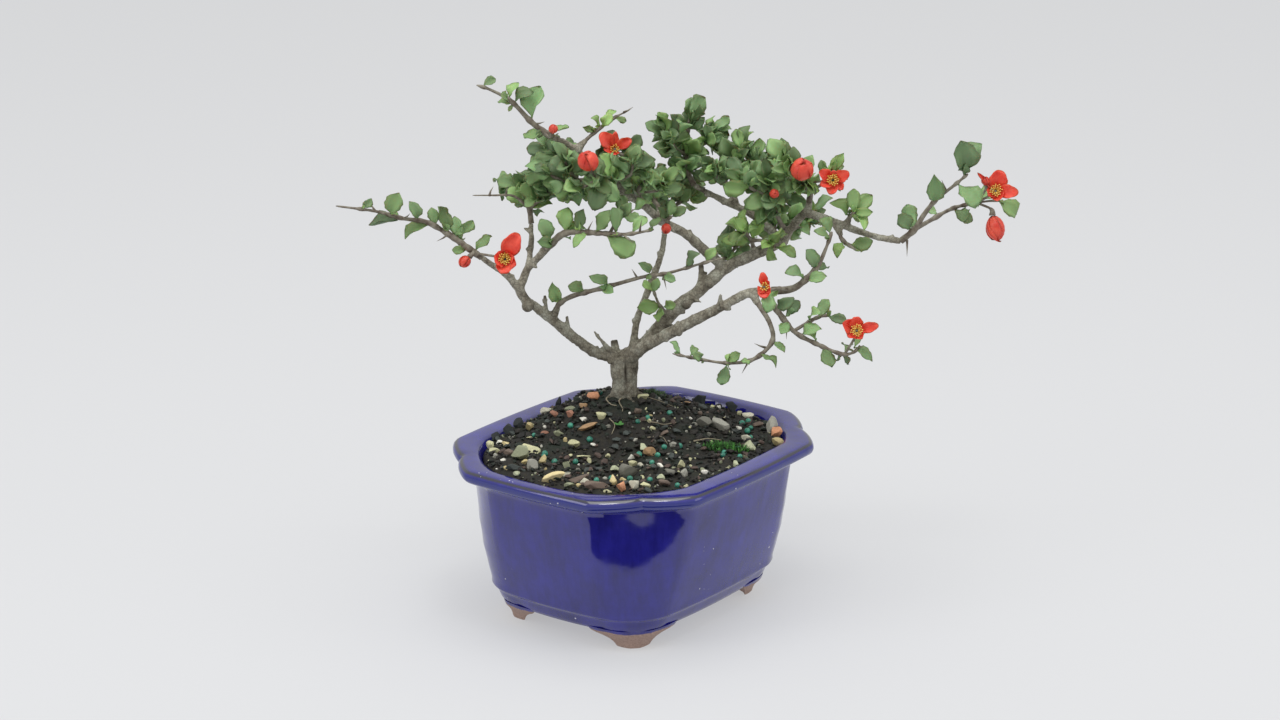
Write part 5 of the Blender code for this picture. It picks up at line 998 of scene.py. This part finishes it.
joined_wood = bpy.data.meshes.new_from_object(rough.evaluated_get(bpy.context.evaluated_depsgraph_get()))
bpy.data.objects.remove(rough, do_unlink=True)
bm = bmesh.new()
bm.from_mesh(joined_wood)
for _ in range(3):
    bmesh.ops.smooth_vert(bm, verts=bm.verts, factor=0.5, use_axis_x=True, use_axis_y=True, use_axis_z=True)
bm.normal_update()
scar_and_slit_shade = bm.verts.layers.float.new("scar_and_slit_shade")
scars = [(in_tree(spot), wide * MM) for spot, wide in SCARS]
cuts = [(in_tree(LIMBS[name][2][-1]), LIMBS[name][1] * 1.2 * MM) for name in ("pruned_stub", "right_stub")]
for vert in bm.verts:
    spot = vert.co / MM
    low = max(0.0, 1 - (vert.co.z - rim_centre.z) / (70 * MM))
    furrow = abs(noise.noise(Vector((spot.x / 2.6, spot.y / 2.6, spot.z / 6)))) - 0.25
    flake = noise.noise(spot / 1.6) * 0.14 + noise.noise(spot / 5.2) * 0.30
    vert.co += vert.normal * (furrow * (0.30 + 1.2 * low) + flake) * MM
    for centre, wide in scars + cuts:
        near = (vert.co - centre).length / wide
        if near < 1.5:
            vert[scar_and_slit_shade] = max(vert[scar_and_slit_shade], min(0.7, 1.5 - near))
    # the slit between the two stems, where they have not quite grown together; it is sunk in and darkened with
    # painted shade
    inner = TREE_TURN.inverted() @ (vert.co - rim_centre - TRUNK_FOOT * MM) / MM
    if inner.z < SLIT_TOP and inner.y < 0:
        slit = max(0.25, 1 - abs(inner.z - SLIT_MIDDLE) / (SLIT_TOP - SLIT_MIDDLE))
        slit *= math.exp(-((inner.x - SLIT) / SLIT_HALF_WIDTH) ** 2)
        vert.co -= vert.normal * SLIT_DEPTH * slit * MM
        vert[scar_and_slit_shade] = max(vert[scar_and_slit_shade], slit)
# Old bark: grey-olive cork with dark furrows and blotches, and patches of grey lichen.
old_bark, tree, shader, place = start_material("furrowed_quince_bark", Roughness=0.88)
patch = add(tree, "TexNoise", {"Scale": 130, "Detail": 6, "Roughness": 0.7}, {"Vector": place})
bark = add(tree, "ValToRGB", None, {"Fac": patch}, ((0.30, "#453f34"), (0.46, "#857f70"), (0.70, "#b4b3a4")))
lichen_field = add(tree, "TexNoise", {"Scale": 55, "Detail": 7, "Roughness": 0.75}, {"Vector": place})
lichen = add(tree, "MapRange", {"From Min": 0.56, "From Max": 0.66, "To Max": 0.75}, {"Value": lichen_field})
mossed = add(tree, "Mix", {"data_type": "RGBA", 7: linear("#b3b5a6")}, {0: lichen, 6: bark})
# Lenticels and cracks run across the young limbs and along the trunk, about a millimetre apart.
crack = add(tree, "TexVoronoi", {"feature": "DISTANCE_TO_EDGE", "Scale": 420}, {"Vector": place})
cracked = add(tree, "MapRange", {"From Max": 0.12, "To Min": 0.45, "To Max": 1.0}, {"Value": crack})
furrowed = add(tree, "Mix", {"data_type": "RGBA", "blend_type": "MULTIPLY", 0: 0.75}, {6: mossed, 7: cracked})
# The trunk is drawn darker towards the bottom, where it leaves the soil.
level = add(tree, "SeparateXYZ", links={"Vector": place})
damp_soil_and_low_trunk = add(
    tree, "MapRange", {"From Min": 0.105, "From Max": 0.148, "To Min": 0.62, "To Max": 0.0},
    {"Value": level.outputs["Z"]},
)
darker_low_trunk = add(tree, "Mix", {"data_type": "RGBA", 7: linear("#39342a")}, {0: damp_soil_and_low_trunk, 6: furrowed})
# Healed scars and cut ends are dark in their own right; the same dark in the slit between the stems is painted
# shade.
scar_and_slit_mask = add(tree, "Attribute", {"attribute_name": "scar_and_slit_shade"})
scarred_and_slit_shaded = add(tree, "Mix", {"data_type": "RGBA", 7: linear("#33291f")}, {0: scar_and_slit_mask.outputs["Fac"], 6: darker_low_trunk})
fine = add(tree, "TexNoise", {"Scale": 900, "Detail": 5, "Roughness": 0.7}, {"Vector": place})
crack_bump = add(tree, "Bump", {"Strength": 0.5, "Distance": 0.0004}, {"Height": cracked})
bark_bump = add(tree, "Bump", {"Strength": 0.6, "Distance": 0.0004}, {"Height": fine, "Normal": crack_bump})
feed(tree, shader, {"Base Color": scarred_and_slit_shaded, "Normal": bark_bump})
wood = finished("trunk_and_limbs", bm, old_bark)
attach(wood, "root")
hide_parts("wood")

# The leafy sprays. Each is a young twig with thorns and a leaf at every joint, and continues a limb
# or stands on a spur. The leaves are obovate, glossy and finely toothed, and paler underneath.
LEAF_THICKNESS = 0.8
LEAF_FACES = TREE_TURN @ Vector((0, -0.75, 0.66))
LEAF_STALK = 0.13
LEAF_ROWS = 9


def leaves_and_thorns(node):
    """Where the leaves and thorns of a CAD spray are: each leaf's root, tip, way across and way up."""
    bm = bmesh.new()
    bm.from_mesh(node.data)
    bmesh.ops.remove_doubles(bm, verts=bm.verts, dist=0.00001)
    leaves, thorns = [], []
    for tip in bm.verts:
        first = {e.other_vert(tip) for e in tip.link_edges}
        ways = [(v.co - tip.co).normalized() for v in first]
        mean = sum(ways, Vector()).normalized()
        paired = all(any(abs((a.co - b.co).length / MM - LEAF_THICKNESS) < 0.05 for b in first) for a in first)
        # a leaf's tip meets pairs of points a leaf's thickness apart, and a thorn's meets four points
        if paired and len(first) in (4, 6) and min(w.dot(mean) for w in ways) > 0.1:
            second = {e.other_vert(v) for v in first for e in v.link_edges} - first - {tip}
            third = {e.other_vert(v) for v in second for e in v.link_edges} - first - second
            belly, quad = (second, third) if len(first) == 4 else (first, second)
            if len(belly) != 6 or len(quad) < 4:
                continue
            root = sum((v.co for v in quad), Vector()) / len(quad)
            along = (tip.co - root).normalized()
            across = max(((a.co - b.co) for a in belly for b in belly), key=lambda w: w.length)
            up = across.cross(along).normalized()
            if up.dot(LEAF_FACES) < 0:
                up = -up
            leaves.append((root, tip.co.copy(), along.cross(up).normalized(), up))
        elif len(first) == 4 and not paired and min(w.dot(mean) for w in ways) > 0.8:
            root = sum((v.co for v in first), Vector()) / 4
            thorns.append((root, tip.co.copy()))
    bm.free()
    return leaves, thorns


def two_skinned(across, along, gap):
    """A flat square of two skins that meet at its edge and stand a gap apart inside it."""
    bm = bmesh.new()
    bmesh.ops.create_grid(bm, x_segments=across, y_segments=along, size=0.5, calc_uvs=True)
    under = bmesh.ops.duplicate(bm, geom=bm.faces[:] + bm.edges[:] + bm.verts[:])["geom"]
    bmesh.ops.reverse_faces(bm, faces=[g for g in under if isinstance(g, bmesh.types.BMFace)])
    for vert in under:
        if isinstance(vert, bmesh.types.BMVert) and not vert.is_boundary:
            vert.co.z = -gap
    bmesh.ops.remove_doubles(bm, verts=bm.verts, dist=0.0001)
    return bm


# One blade, drawn flat, whose lower skin is told by the blue of its tint.
bm = two_skinned(4, LEAF_ROWS, 0.02)
side_layer = bm.verts.layers.float_color.new("leaf_tint")
for vert in bm.verts:
    if vert.co.z < 0:
        vert[side_layer] = (0, 0, 1, 1)
blade = bpy.data.meshes.new("blade")
bm.to_mesh(blade)
bm.free()


def grow_leaf(bm, root, tip, across, up, layer, rng, youth):
    """Adds one blade to a spray: folded along its rib, arched, waved and toothed."""
    before = len(bm.verts)
    bm.from_mesh(blade)
    bm.verts.ensure_lookup_table()
    reach = tip - root
    length = reach.length
    along = reach.normalized()
    half_width = length * rng.uniform(0.25, 0.37)
    point = rng.uniform(0.36, 0.85)
    widest = 0.8 / (0.8 + point)
    full = widest ** 0.8 * (1 - widest) ** point
    arch = rng.uniform(-0.04, 0.18)
    fold = rng.uniform(0.2, 0.8)
    droop = rng.uniform(-0.08, 0.26)
    phase, wave = rng.uniform(0, math.tau), rng.uniform(0.04, 0.13)
    twist = rng.uniform(-0.8, 0.8)
    bend = rng.uniform(-0.08, 0.08)
    light = rng.uniform(0.5, 1.35)
    for vert in bm.verts[before:]:
        u, v = vert.co.x * 2, vert.co.y + 0.5
        below = vert.co.z
        row = round(v * LEAF_ROWS)
        body = max(0.0, (v - LEAF_STALK) / (1 - LEAF_STALK))
        half = half_width * max(0.1, body ** 0.8 * (1 - body) ** point / full)
        if v < LEAF_STALK:
            half = 0.028 * length
        if v > 0.97:
            half = half_width * 0.24 * (1 - point)
        if abs(u) > 0.9 and 1 < row < LEAF_ROWS:
            half *= 1.05 if row % 2 else 0.94
        turn = twist * v
        way = across * math.cos(turn) + up * math.sin(turn)
        rise = up * math.cos(turn) - across * math.sin(turn)
        height = length * (0.04 * v + arch * math.sin(math.pi * v) - droop * v ** 3)
        height += half * fold * abs(u) ** 1.3
        height += length * wave * math.sin(phase + v * 9) * abs(u) + below * length * 0.9
        sideways = half * u * (1 - 0.12 * fold) + length * bend * math.sin(math.pi * v * 0.5) ** 2
        vert.co = root + along * length * v + way * sideways + rise * height
        vert[layer] = (youth, light, vert[layer][2], 1)


# The leaf: waxy and glossy, deep green above with a paler rib and side veins, dull and pale beneath.
quince_leaf, tree, shader, place = start_material(
    "waxy_quince_leaf", IOR=1.62, Subsurface_Weight=0.1, Subsurface_Scale=0.0008,
)
tint = add(tree, "Attribute", {"attribute_name": "leaf_tint"})
parts = add(tree, "SeparateColor", links={"Color": tint})
flat = add(tree, "SeparateXYZ", links={"Vector": add(tree, "TexCoord").outputs["UV"]})
off_rib = add(tree, "Math", {"operation": "SUBTRACT", 1: 0.5}, {0: flat.outputs["X"]})
from_rib = add(tree, "Math", {"operation": "ABSOLUTE"}, {0: off_rib})
rib = add(
    tree, "MapRange", {"From Min": 0.02, "From Max": 0.07, "To Min": 1.0, "To Max": 0.0},
    {"Value": from_rib},
)
slant = add(tree, "Math", {"operation": "MULTIPLY_ADD", 1: -0.55}, {0: from_rib, 2: flat.outputs["Y"]})
ladder = add(tree, "Math", {"operation": "MULTIPLY", 1: 9}, {0: slant})
saw = add(tree, "Math", {"operation": "PINGPONG", 1: 0.5}, {0: ladder})
vein = add(
    tree, "MapRange", {"From Min": 0.02, "From Max": 0.14, "To Min": 0.55, "To Max": 0.0}, {"Value": saw},
)
veins = add(tree, "Math", {"operation": "MAXIMUM"}, {0: rib, 1: vein})
blotch = add(tree, "TexNoise", {"Scale": 170, "Detail": 4}, {"Vector": place})
green = add(tree, "ValToRGB", None, {"Fac": blotch}, ((0.3, "#0f3a1d"), (0.7, "#2a6a2f")))
young = add(tree, "Mix", {"data_type": "RGBA", 7: linear("#93bd3f")}, {0: parts.outputs["Red"], 6: green})
veined_amount = add(tree, "Math", {"operation": "MULTIPLY", 1: 0.4}, {0: veins})
veined = add(tree, "Mix", {"data_type": "RGBA", 7: linear("#9db55f")}, {0: veined_amount, 6: young})
pale_amount = add(tree, "Math", {"operation": "MULTIPLY", 1: 0.62}, {0: parts.outputs["Blue"]})
pale = add(tree, "Mix", {"data_type": "RGBA", 7: linear("#8aa872")}, {0: pale_amount, 6: veined})
lit = add(
    tree, "Mix", {"data_type": "RGBA", "blend_type": "MULTIPLY", 0: 1.0},
    {6: pale, 7: parts.outputs["Green"]},
)
gloss = add(tree, "MapRange", {"To Min": 0.22, "To Max": 0.6}, {"Value": parts.outputs["Blue"]})
vein_bump = add(tree, "Bump", {"Strength": 0.6, "Distance": 0.0004, "invert": True}, {"Height": veins})
feed(tree, shader, {"Base Color": lit, "Roughness": gloss, "Normal": vein_bump})

# Young bark: smooth red-brown skin that greys with age.
twig_bark, tree, shader, place = start_material("smooth_twig_bark", Roughness=0.6)
skin = add(tree, "TexNoise", {"Scale": 260, "Detail": 4}, {"Vector": place})
ruddy = add(tree, "ValToRGB", None, {"Fac": skin}, ((0.3, "#54463a"), (0.7, "#8f8a7b")))
skin_bump = add(tree, "Bump", {"Strength": 0.4, "Distance": 0.0002}, {"Height": skin})
feed(tree, shader, {"Base Color": ruddy, "Normal": skin_bump})

# How young and yellow-green the leaves of some sprays are; the others are mature.
YOUTH = {
    "bright": 1.0, "sucker": 0.6, "shoulder": 0.5, "under_shoot": 0.6, "upper_twig": 0.7, "centre": 0.35,
    "left_long": 0.3, "left_rise": 0.3, "thin_cross": 0.2, "right_end": 0.35, "upper_left": 0.3,
}
DENSE = (
    "crown_top", "crown_right", "crown_back", "middle_left", "middle_front", "middle_top", "middle_back",
    "left_inner", "centre", "centre_back", "upright", "right_rise", "right_end", "back_right", "back_left",
)
for name, (on, twigs, stalks) in SPRAYS.items():
    rng = random.Random(name)
    leaves, thorns = leaves_and_thorns(frame["nodes"]["spray_" + name])
    bm = bmesh.new()
    for i, (start, end, points) in enumerate(twigs):
        places = [in_tree(p) for p in points]
        if i == 0 and len(on) == 1:
            places.insert(0, in_tree(LIMBS[on[0]][2][-1]))
        elif i == 0:
            root = in_tree(on[1])
            places.insert(0, root + (places[0] - root).normalized() * (SPUR_LENGTH - 3) * MM)
        spots = flowing(places, 1.7)
        radii = []
        for k, spot in enumerate(spots):
            joint = min([(leaf[0] - spot).length / MM for leaf in leaves] or [9])
            plain = start + (end * 0.7 - start) * k / (len(spots) - 1)
            swelling = 0.5 * math.exp(-((joint - 1) / 1.3) ** 2)
            radii.append(plain + swelling + 0.12 * noise.noise(spot / (3 * MM)))
        radii[-1] *= 0.5
        stem(bm, spots, radii, 7)
    for start, seat, axis, calyx in stalks:
        top = in_tree(seat)
        way = (TREE_TURN @ Vector(axis)).normalized()
        spots = flowing([in_tree(start), top - way * 4 * MM, top], 1.0)
        radii = []
        for spot in spots:
            near = max(0.0, 1 - (spot - top).length / (4.4 * MM))
            radii.append(0.75 + (calyx - 0.75) * near ** 0.6)
        stem(bm, spots, radii, 9)
    for root, tip in thorns:
        bend = (tip - root).orthogonal().normalized() * 0.4 * MM
        spots = [root - (tip - root) * 0.15, root + (tip - root) * 0.4 + bend, tip]
        stem(bm, spots, [0.9, 0.5, 0.06], 5)
    bm.loops.layers.uv.new("UVMap")
    layer = bm.verts.layers.float_color.new("leaf_tint")
    bmesh.ops.recalc_face_normals(bm, faces=bm.faces)
    woody = len(bm.faces)
    base_youth = YOUTH.get(name, 0.05)
    for root, tip, across, up in leaves:
        reach = tip - root
        youth = min(1.0, max(0.0, base_youth + rng.gauss(0.05, 0.2)))
        grow_leaf(bm, root - reach * 0.03, tip - reach * rng.uniform(0.02, 0.16), across, up, layer, rng, youth)
        # smaller leaves of the same bud stand round the larger one
        if name == "crown_top":
            small, large, others = 0.7, 1.1, 4
        elif name in DENSE:
            small, large, others = 0.45, 0.9, rng.choice((2, 3, 3))
        else:
            small, large, others = 0.25, 0.5, rng.choice((0, 1, 1))
        for _ in range(others):
            size = rng.uniform(small, large)
            aside = Vector([rng.gauss(0, 1) for _ in range(3)]).normalized()
            way = (reach.normalized() + aside * rng.uniform(0.7, 1.1)).normalized()
            face = (up + Vector([rng.gauss(0, 0.4) for _ in range(3)])).normalized()
            side = way.cross(face).normalized()
            youth = min(1.0, max(0.0, base_youth + rng.gauss(0.1, 0.3)))
            end = root + way * reach.length * size
            grow_leaf(bm, root - way * 0.4 * MM, end, side, side.cross(way), layer, rng, youth)
    bm.faces.ensure_lookup_table()
    for face in bm.faces[woody:]:
        face.material_index = 1
    leafy = finished("leafy_" + name, bm, twig_bark, quince_leaf)
    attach(leafy, "root")
    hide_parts("spray_" + name)
bpy.data.meshes.remove(blade)

# The blooms. Vermilion flowers of five round, cupped petals with a waved edge, half-open cups whose
# petals still wrap each other, and round buds. Each sits in its calyx on a short stalk.
# Blooms: the spray and the stalk that carry each, and its radius.
BLOOMS = {
    "bloom_left": ("left_long", 0, 13), "bud_left": ("left_long", 1, 3.6),
    "buds_upper": ("upper_left", 0, 2.7), "cup_middle": ("middle_front", 0, 6.0),
    "bloom_middle": ("middle_top", 0, 10.5), "bud_centre": ("centre_front", 0, 2.9),
    "bud_crown": ("right_rise", 0, 2.8), "cup_crown": ("right_end", 0, 6.6),
    "bloom_right": ("right_end", 1, 10), "bloom_tip": ("right_tip", 0, 12),
    "bud_tip": ("right_tip", 1, 2.4), "cup_hanging": ("right_tip", 2, 6.7),
    "bloom_inner": ("lower_rise", 0, 9), "bloom_lower": ("lower_right", 0, 10.5),
}
# Petals, each by its turn round the bloom from the right, its lean at the claw and at the rim in
# degrees from the way the bloom faces, and its length and half-width as shares of the radius.
CLOSED = tuple((turn, 82, -89, 3.04, 0.98) for turn in (0, 72, 144, 216, 288))
PETALS = {
    "bloom_left": (
        (62, 35, 84, 1.38, 0.46), (268, 40, 82, 0.74, 0.42), (322, 32, 66, 0.66, 0.36),
        (188, 30, 62, 0.60, 0.40), (128, 20, 48, 0.55, 0.32), (10, 18, 50, 0.55, 0.34),
    ),
    "bloom_middle": (
        (134, 40, 88, 1.25, 0.46), (28, 45, 86, 1.05, 0.33), (88, 40, 62, 1.00, 0.24),
        (182, 30, 60, 0.75, 0.34), (250, 30, 50, 0.50, 0.34),
    ),
    "bloom_right": (
        (148, 35, 78, 1.10, 0.42), (22, 30, 74, 1.22, 0.42), (262, 40, 84, 0.95, 0.42),
        (86, 20, 58, 0.75, 0.32), (206, 30, 82, 1.00, 0.36), (318, 36, 70, 0.85, 0.36),
    ),
    "bloom_tip": (
        (78, 30, 84, 1.12, 0.50), (352, 36, 88, 1.20, 0.36), (138, 50, 84, 1.30, 0.14),
        (206, 24, 60, 0.50, 0.34), (288, 28, 66, 0.62, 0.38),
    ),
    "bloom_inner": (
        (98, 40, 78, 1.00, 0.32), (60, 30, 56, 0.60, 0.26), (268, 44, 74, 0.85, 0.44),
        (222, 40, 60, 0.55, 0.34), (318, 36, 60, 0.60, 0.32),
    ),
    "bloom_lower": (
        (152, 60, 50, 1.05, 0.46), (96, 50, 58, 0.90, 0.42), (14, 46, 88, 1.20, 0.32),
        (212, 40, 70, 0.70, 0.36), (300, 36, 70, 0.60, 0.36),
    ),
    "cup_hanging": tuple((turn, 66, -74, 3.05, 0.95) for turn in (10, 80, 155, 225, 300)),
}
PETAL_STEPS = 24
bm = two_skinned(8, 8, 0.03)
petal = bpy.data.meshes.new("petal")
bm.to_mesh(petal)
bm.free()


def grow_petal(bm, base, basis, radius, turn, claw, rim, reach, half_share, wrapped, rng):
    """Adds one petal that leaves the bloom's base at a turn about its axis, or is wrapped round it."""
    before = len(bm.verts)
    bm.from_mesh(petal)
    bm.verts.ensure_lookup_table()
    line = [(0.10 * radius, 0.05 * radius, math.radians(claw))]
    step = reach * radius / PETAL_STEPS
    for k in range(PETAL_STEPS):
        lean = math.radians(claw + (rim - claw) * (k + 0.5) / PETAL_STEPS)
        r, z, _ = line[-1]
        line.append((r + math.sin(lean) * step, z + math.cos(lean) * step, lean))
    phase = rng.uniform(0, math.tau)
    wave = rng.uniform(0.03, 0.07)
    for vert in bm.verts[before:]:
        u, v = vert.co.x * 2, vert.co.y + 0.5
        below = vert.co.z
        # the rim of the petal is round: its corners are drawn in towards the middle
        reached = v * (1 - 0.16 * abs(u) ** 2.4) * PETAL_STEPS
        r, z, lean = line[min(PETAL_STEPS, int(reached))]
        after = line[min(PETAL_STEPS, int(reached) + 1)]
        part = reached % 1
        r, z = r + (after[0] - r) * part, z + (after[1] - z) * part
        half = radius * half_share * (0.16 + 0.84 * math.sin(math.pi * min(1.0, v * 1.18) * 0.62) ** 1.1)
        half *= 1 - 0.30 * max(0.0, v - 0.72) / 0.28
        cup = half * 0.36 * abs(u) ** 1.8
        ruffle = radius * wave * math.sin(phase + u * 4.4 + v * 3) * v ** 2
        depth = cup + ruffle + below * radius * 0.9 + radius * 0.05 * u
        inward = Vector((-math.cos(lean), 0, math.sin(lean)))
        wrap = half * u / max(r, 0.45 * radius)
        if wrapped:
            spot = Vector((r - math.cos(lean) * (depth - cup), 0, z + math.sin(lean) * (depth - cup)))
            spot = Matrix.Rotation(wrap, 3, "Z") @ spot
        else:
            spot = Vector((r, half * u, z)) + inward * depth
        vert.co = base + basis @ Matrix.Rotation(turn, 3, "Z") @ spot
    bm.verts.index_update()


vermilion, tree, shader, place = start_material(
    "vermilion_petal", IOR=1.45, Roughness=0.42,
    Subsurface_Weight=0.25, Subsurface_Scale=0.002, Subsurface_Radius=(1.0, 0.35, 0.2),
)
uv = add(tree, "TexCoord")
flat = add(tree, "SeparateXYZ", links={"Vector": uv.outputs["UV"]})
flush = add(tree, "TexNoise", {"Scale": 190, "Detail": 3}, {"Vector": place})
deep = add(tree, "ValToRGB", None, {"Fac": flush}, ((0.3, "#cc2f22"), (0.72, "#ee5944")))
paler = add(tree, "MapRange", {"From Min": 0.75, "From Max": 1.0, "To Max": 0.35}, {"Value": flat.outputs["Y"]})
rimmed = add(tree, "Mix", {"data_type": "RGBA", 7: linear("#ff8d72")}, {0: paler, 6: deep})
fan = add(tree, "Mapping", {"Scale": (60, 5, 1)}, {"Vector": uv.outputs["UV"]})
veinlets = add(tree, "TexNoise", {"Scale": 1, "Detail": 2}, {"Vector": fan})
petal_bump = add(tree, "Bump", {"Strength": 0.35, "Distance": 0.0003}, {"Height": veinlets})
feed(tree, shader, {"Base Color": rimmed, "Normal": petal_bump})

pollen, tree, shader, place = start_material("pollen_yellow_stamen", Roughness=0.6)
dust = add(tree, "TexNoise", {"Scale": 1500, "Detail": 2}, {"Vector": place})
yellow = add(tree, "ValToRGB", None, {"Fac": dust}, ((0.35, "#d9a336"), (0.65, "#f3dd7a")))
feed(tree, shader, {"Base Color": yellow})


GOLDEN_ANGLE = 2.399963


def grow_stamens(bm, base, basis, count, height, spread, rng):
    """A crown of threads, each with its anther, round the style."""
    for i in range(count):
        turn = i * GOLDEN_ANGLE
        lean = spread * math.sqrt((i + 0.5) / count)
        tall = height * rng.uniform(0.85, 1.1)
        way = Vector((math.cos(turn) * math.sin(lean), math.sin(turn) * math.sin(lean), math.cos(lean)))
        foot = Vector((math.cos(turn), math.sin(turn), 0)) * 0.9
        tip = foot + way * tall
        knee = foot + Vector((0, 0, tall * 0.45)) + way * tall * 0.08
        spots = [base + basis @ p * MM for p in (foot, knee, tip)]
        stem(bm, spots, [0.22, 0.18, 0.14], 4)
        anther = Matrix.Translation(spots[2]) @ basis.to_4x4() @ Matrix.Diagonal((0.55, 0.4, 0.7, 1))
        bmesh.ops.create_icosphere(bm, subdivisions=1, radius=MM, matrix=anther)


for name, (spray, number, radius) in BLOOMS.items():
    rng = random.Random(name)
    _, seat, axis, _ = SPRAYS[spray][2][number]
    axis = (TREE_TURN @ Vector(axis)).normalized()
    opened = name.startswith("bloom")
    basis = axis.to_track_quat("Z", "Y").to_matrix()
    if opened:
        # an open bloom faces the tree's front and a little up, with its first axis to the right
        face, right = TREE_TURN @ Vector((0, -0.93, 0.37)), TREE_TURN @ Vector((1, 0, 0))
        basis = Matrix((right, face.cross(right), face)).transposed()
    base = in_tree(seat)
    bm = bmesh.new()
    bm.loops.layers.uv.new("UVMap")
    for turn, claw, rim, reach, half_share in PETALS.get(name, CLOSED):
        shift = rng.uniform(-5, 5)
        grow_petal(
            bm, base, basis, radius * MM, math.radians(turn), claw + shift, rim + shift,
            reach * rng.uniform(0.96, 1.04), half_share, not opened, rng,
        )
    petals = len(bm.faces)
    paired = "stamens" + name[5:] in frame["nodes"]
    if opened and not paired:
        grow_stamens(bm, base + basis @ Vector((0, 0, 1)) * MM, basis, 14, 3.6, 0.5, rng)
    bm.faces.ensure_lookup_table()
    for face in bm.faces[petals:]:
        face.material_index = 1
    flower = finished("petals_" + name, bm, vermilion, pollen)
    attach(flower, "root")
    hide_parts(name)
    if opened and paired:
        bm = bmesh.new()
        grow_stamens(bm, base + basis @ Vector((0, 0, 1.2)) * MM, basis, 26, 5.0, 0.6, rng)
        bmesh.ops.recalc_face_normals(bm, faces=bm.faces)
        crown = finished("threads_" + name, bm, pollen)
        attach(crown, "root")
        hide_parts(name.replace("bloom", "stamens"))
bpy.data.meshes.remove(petal)
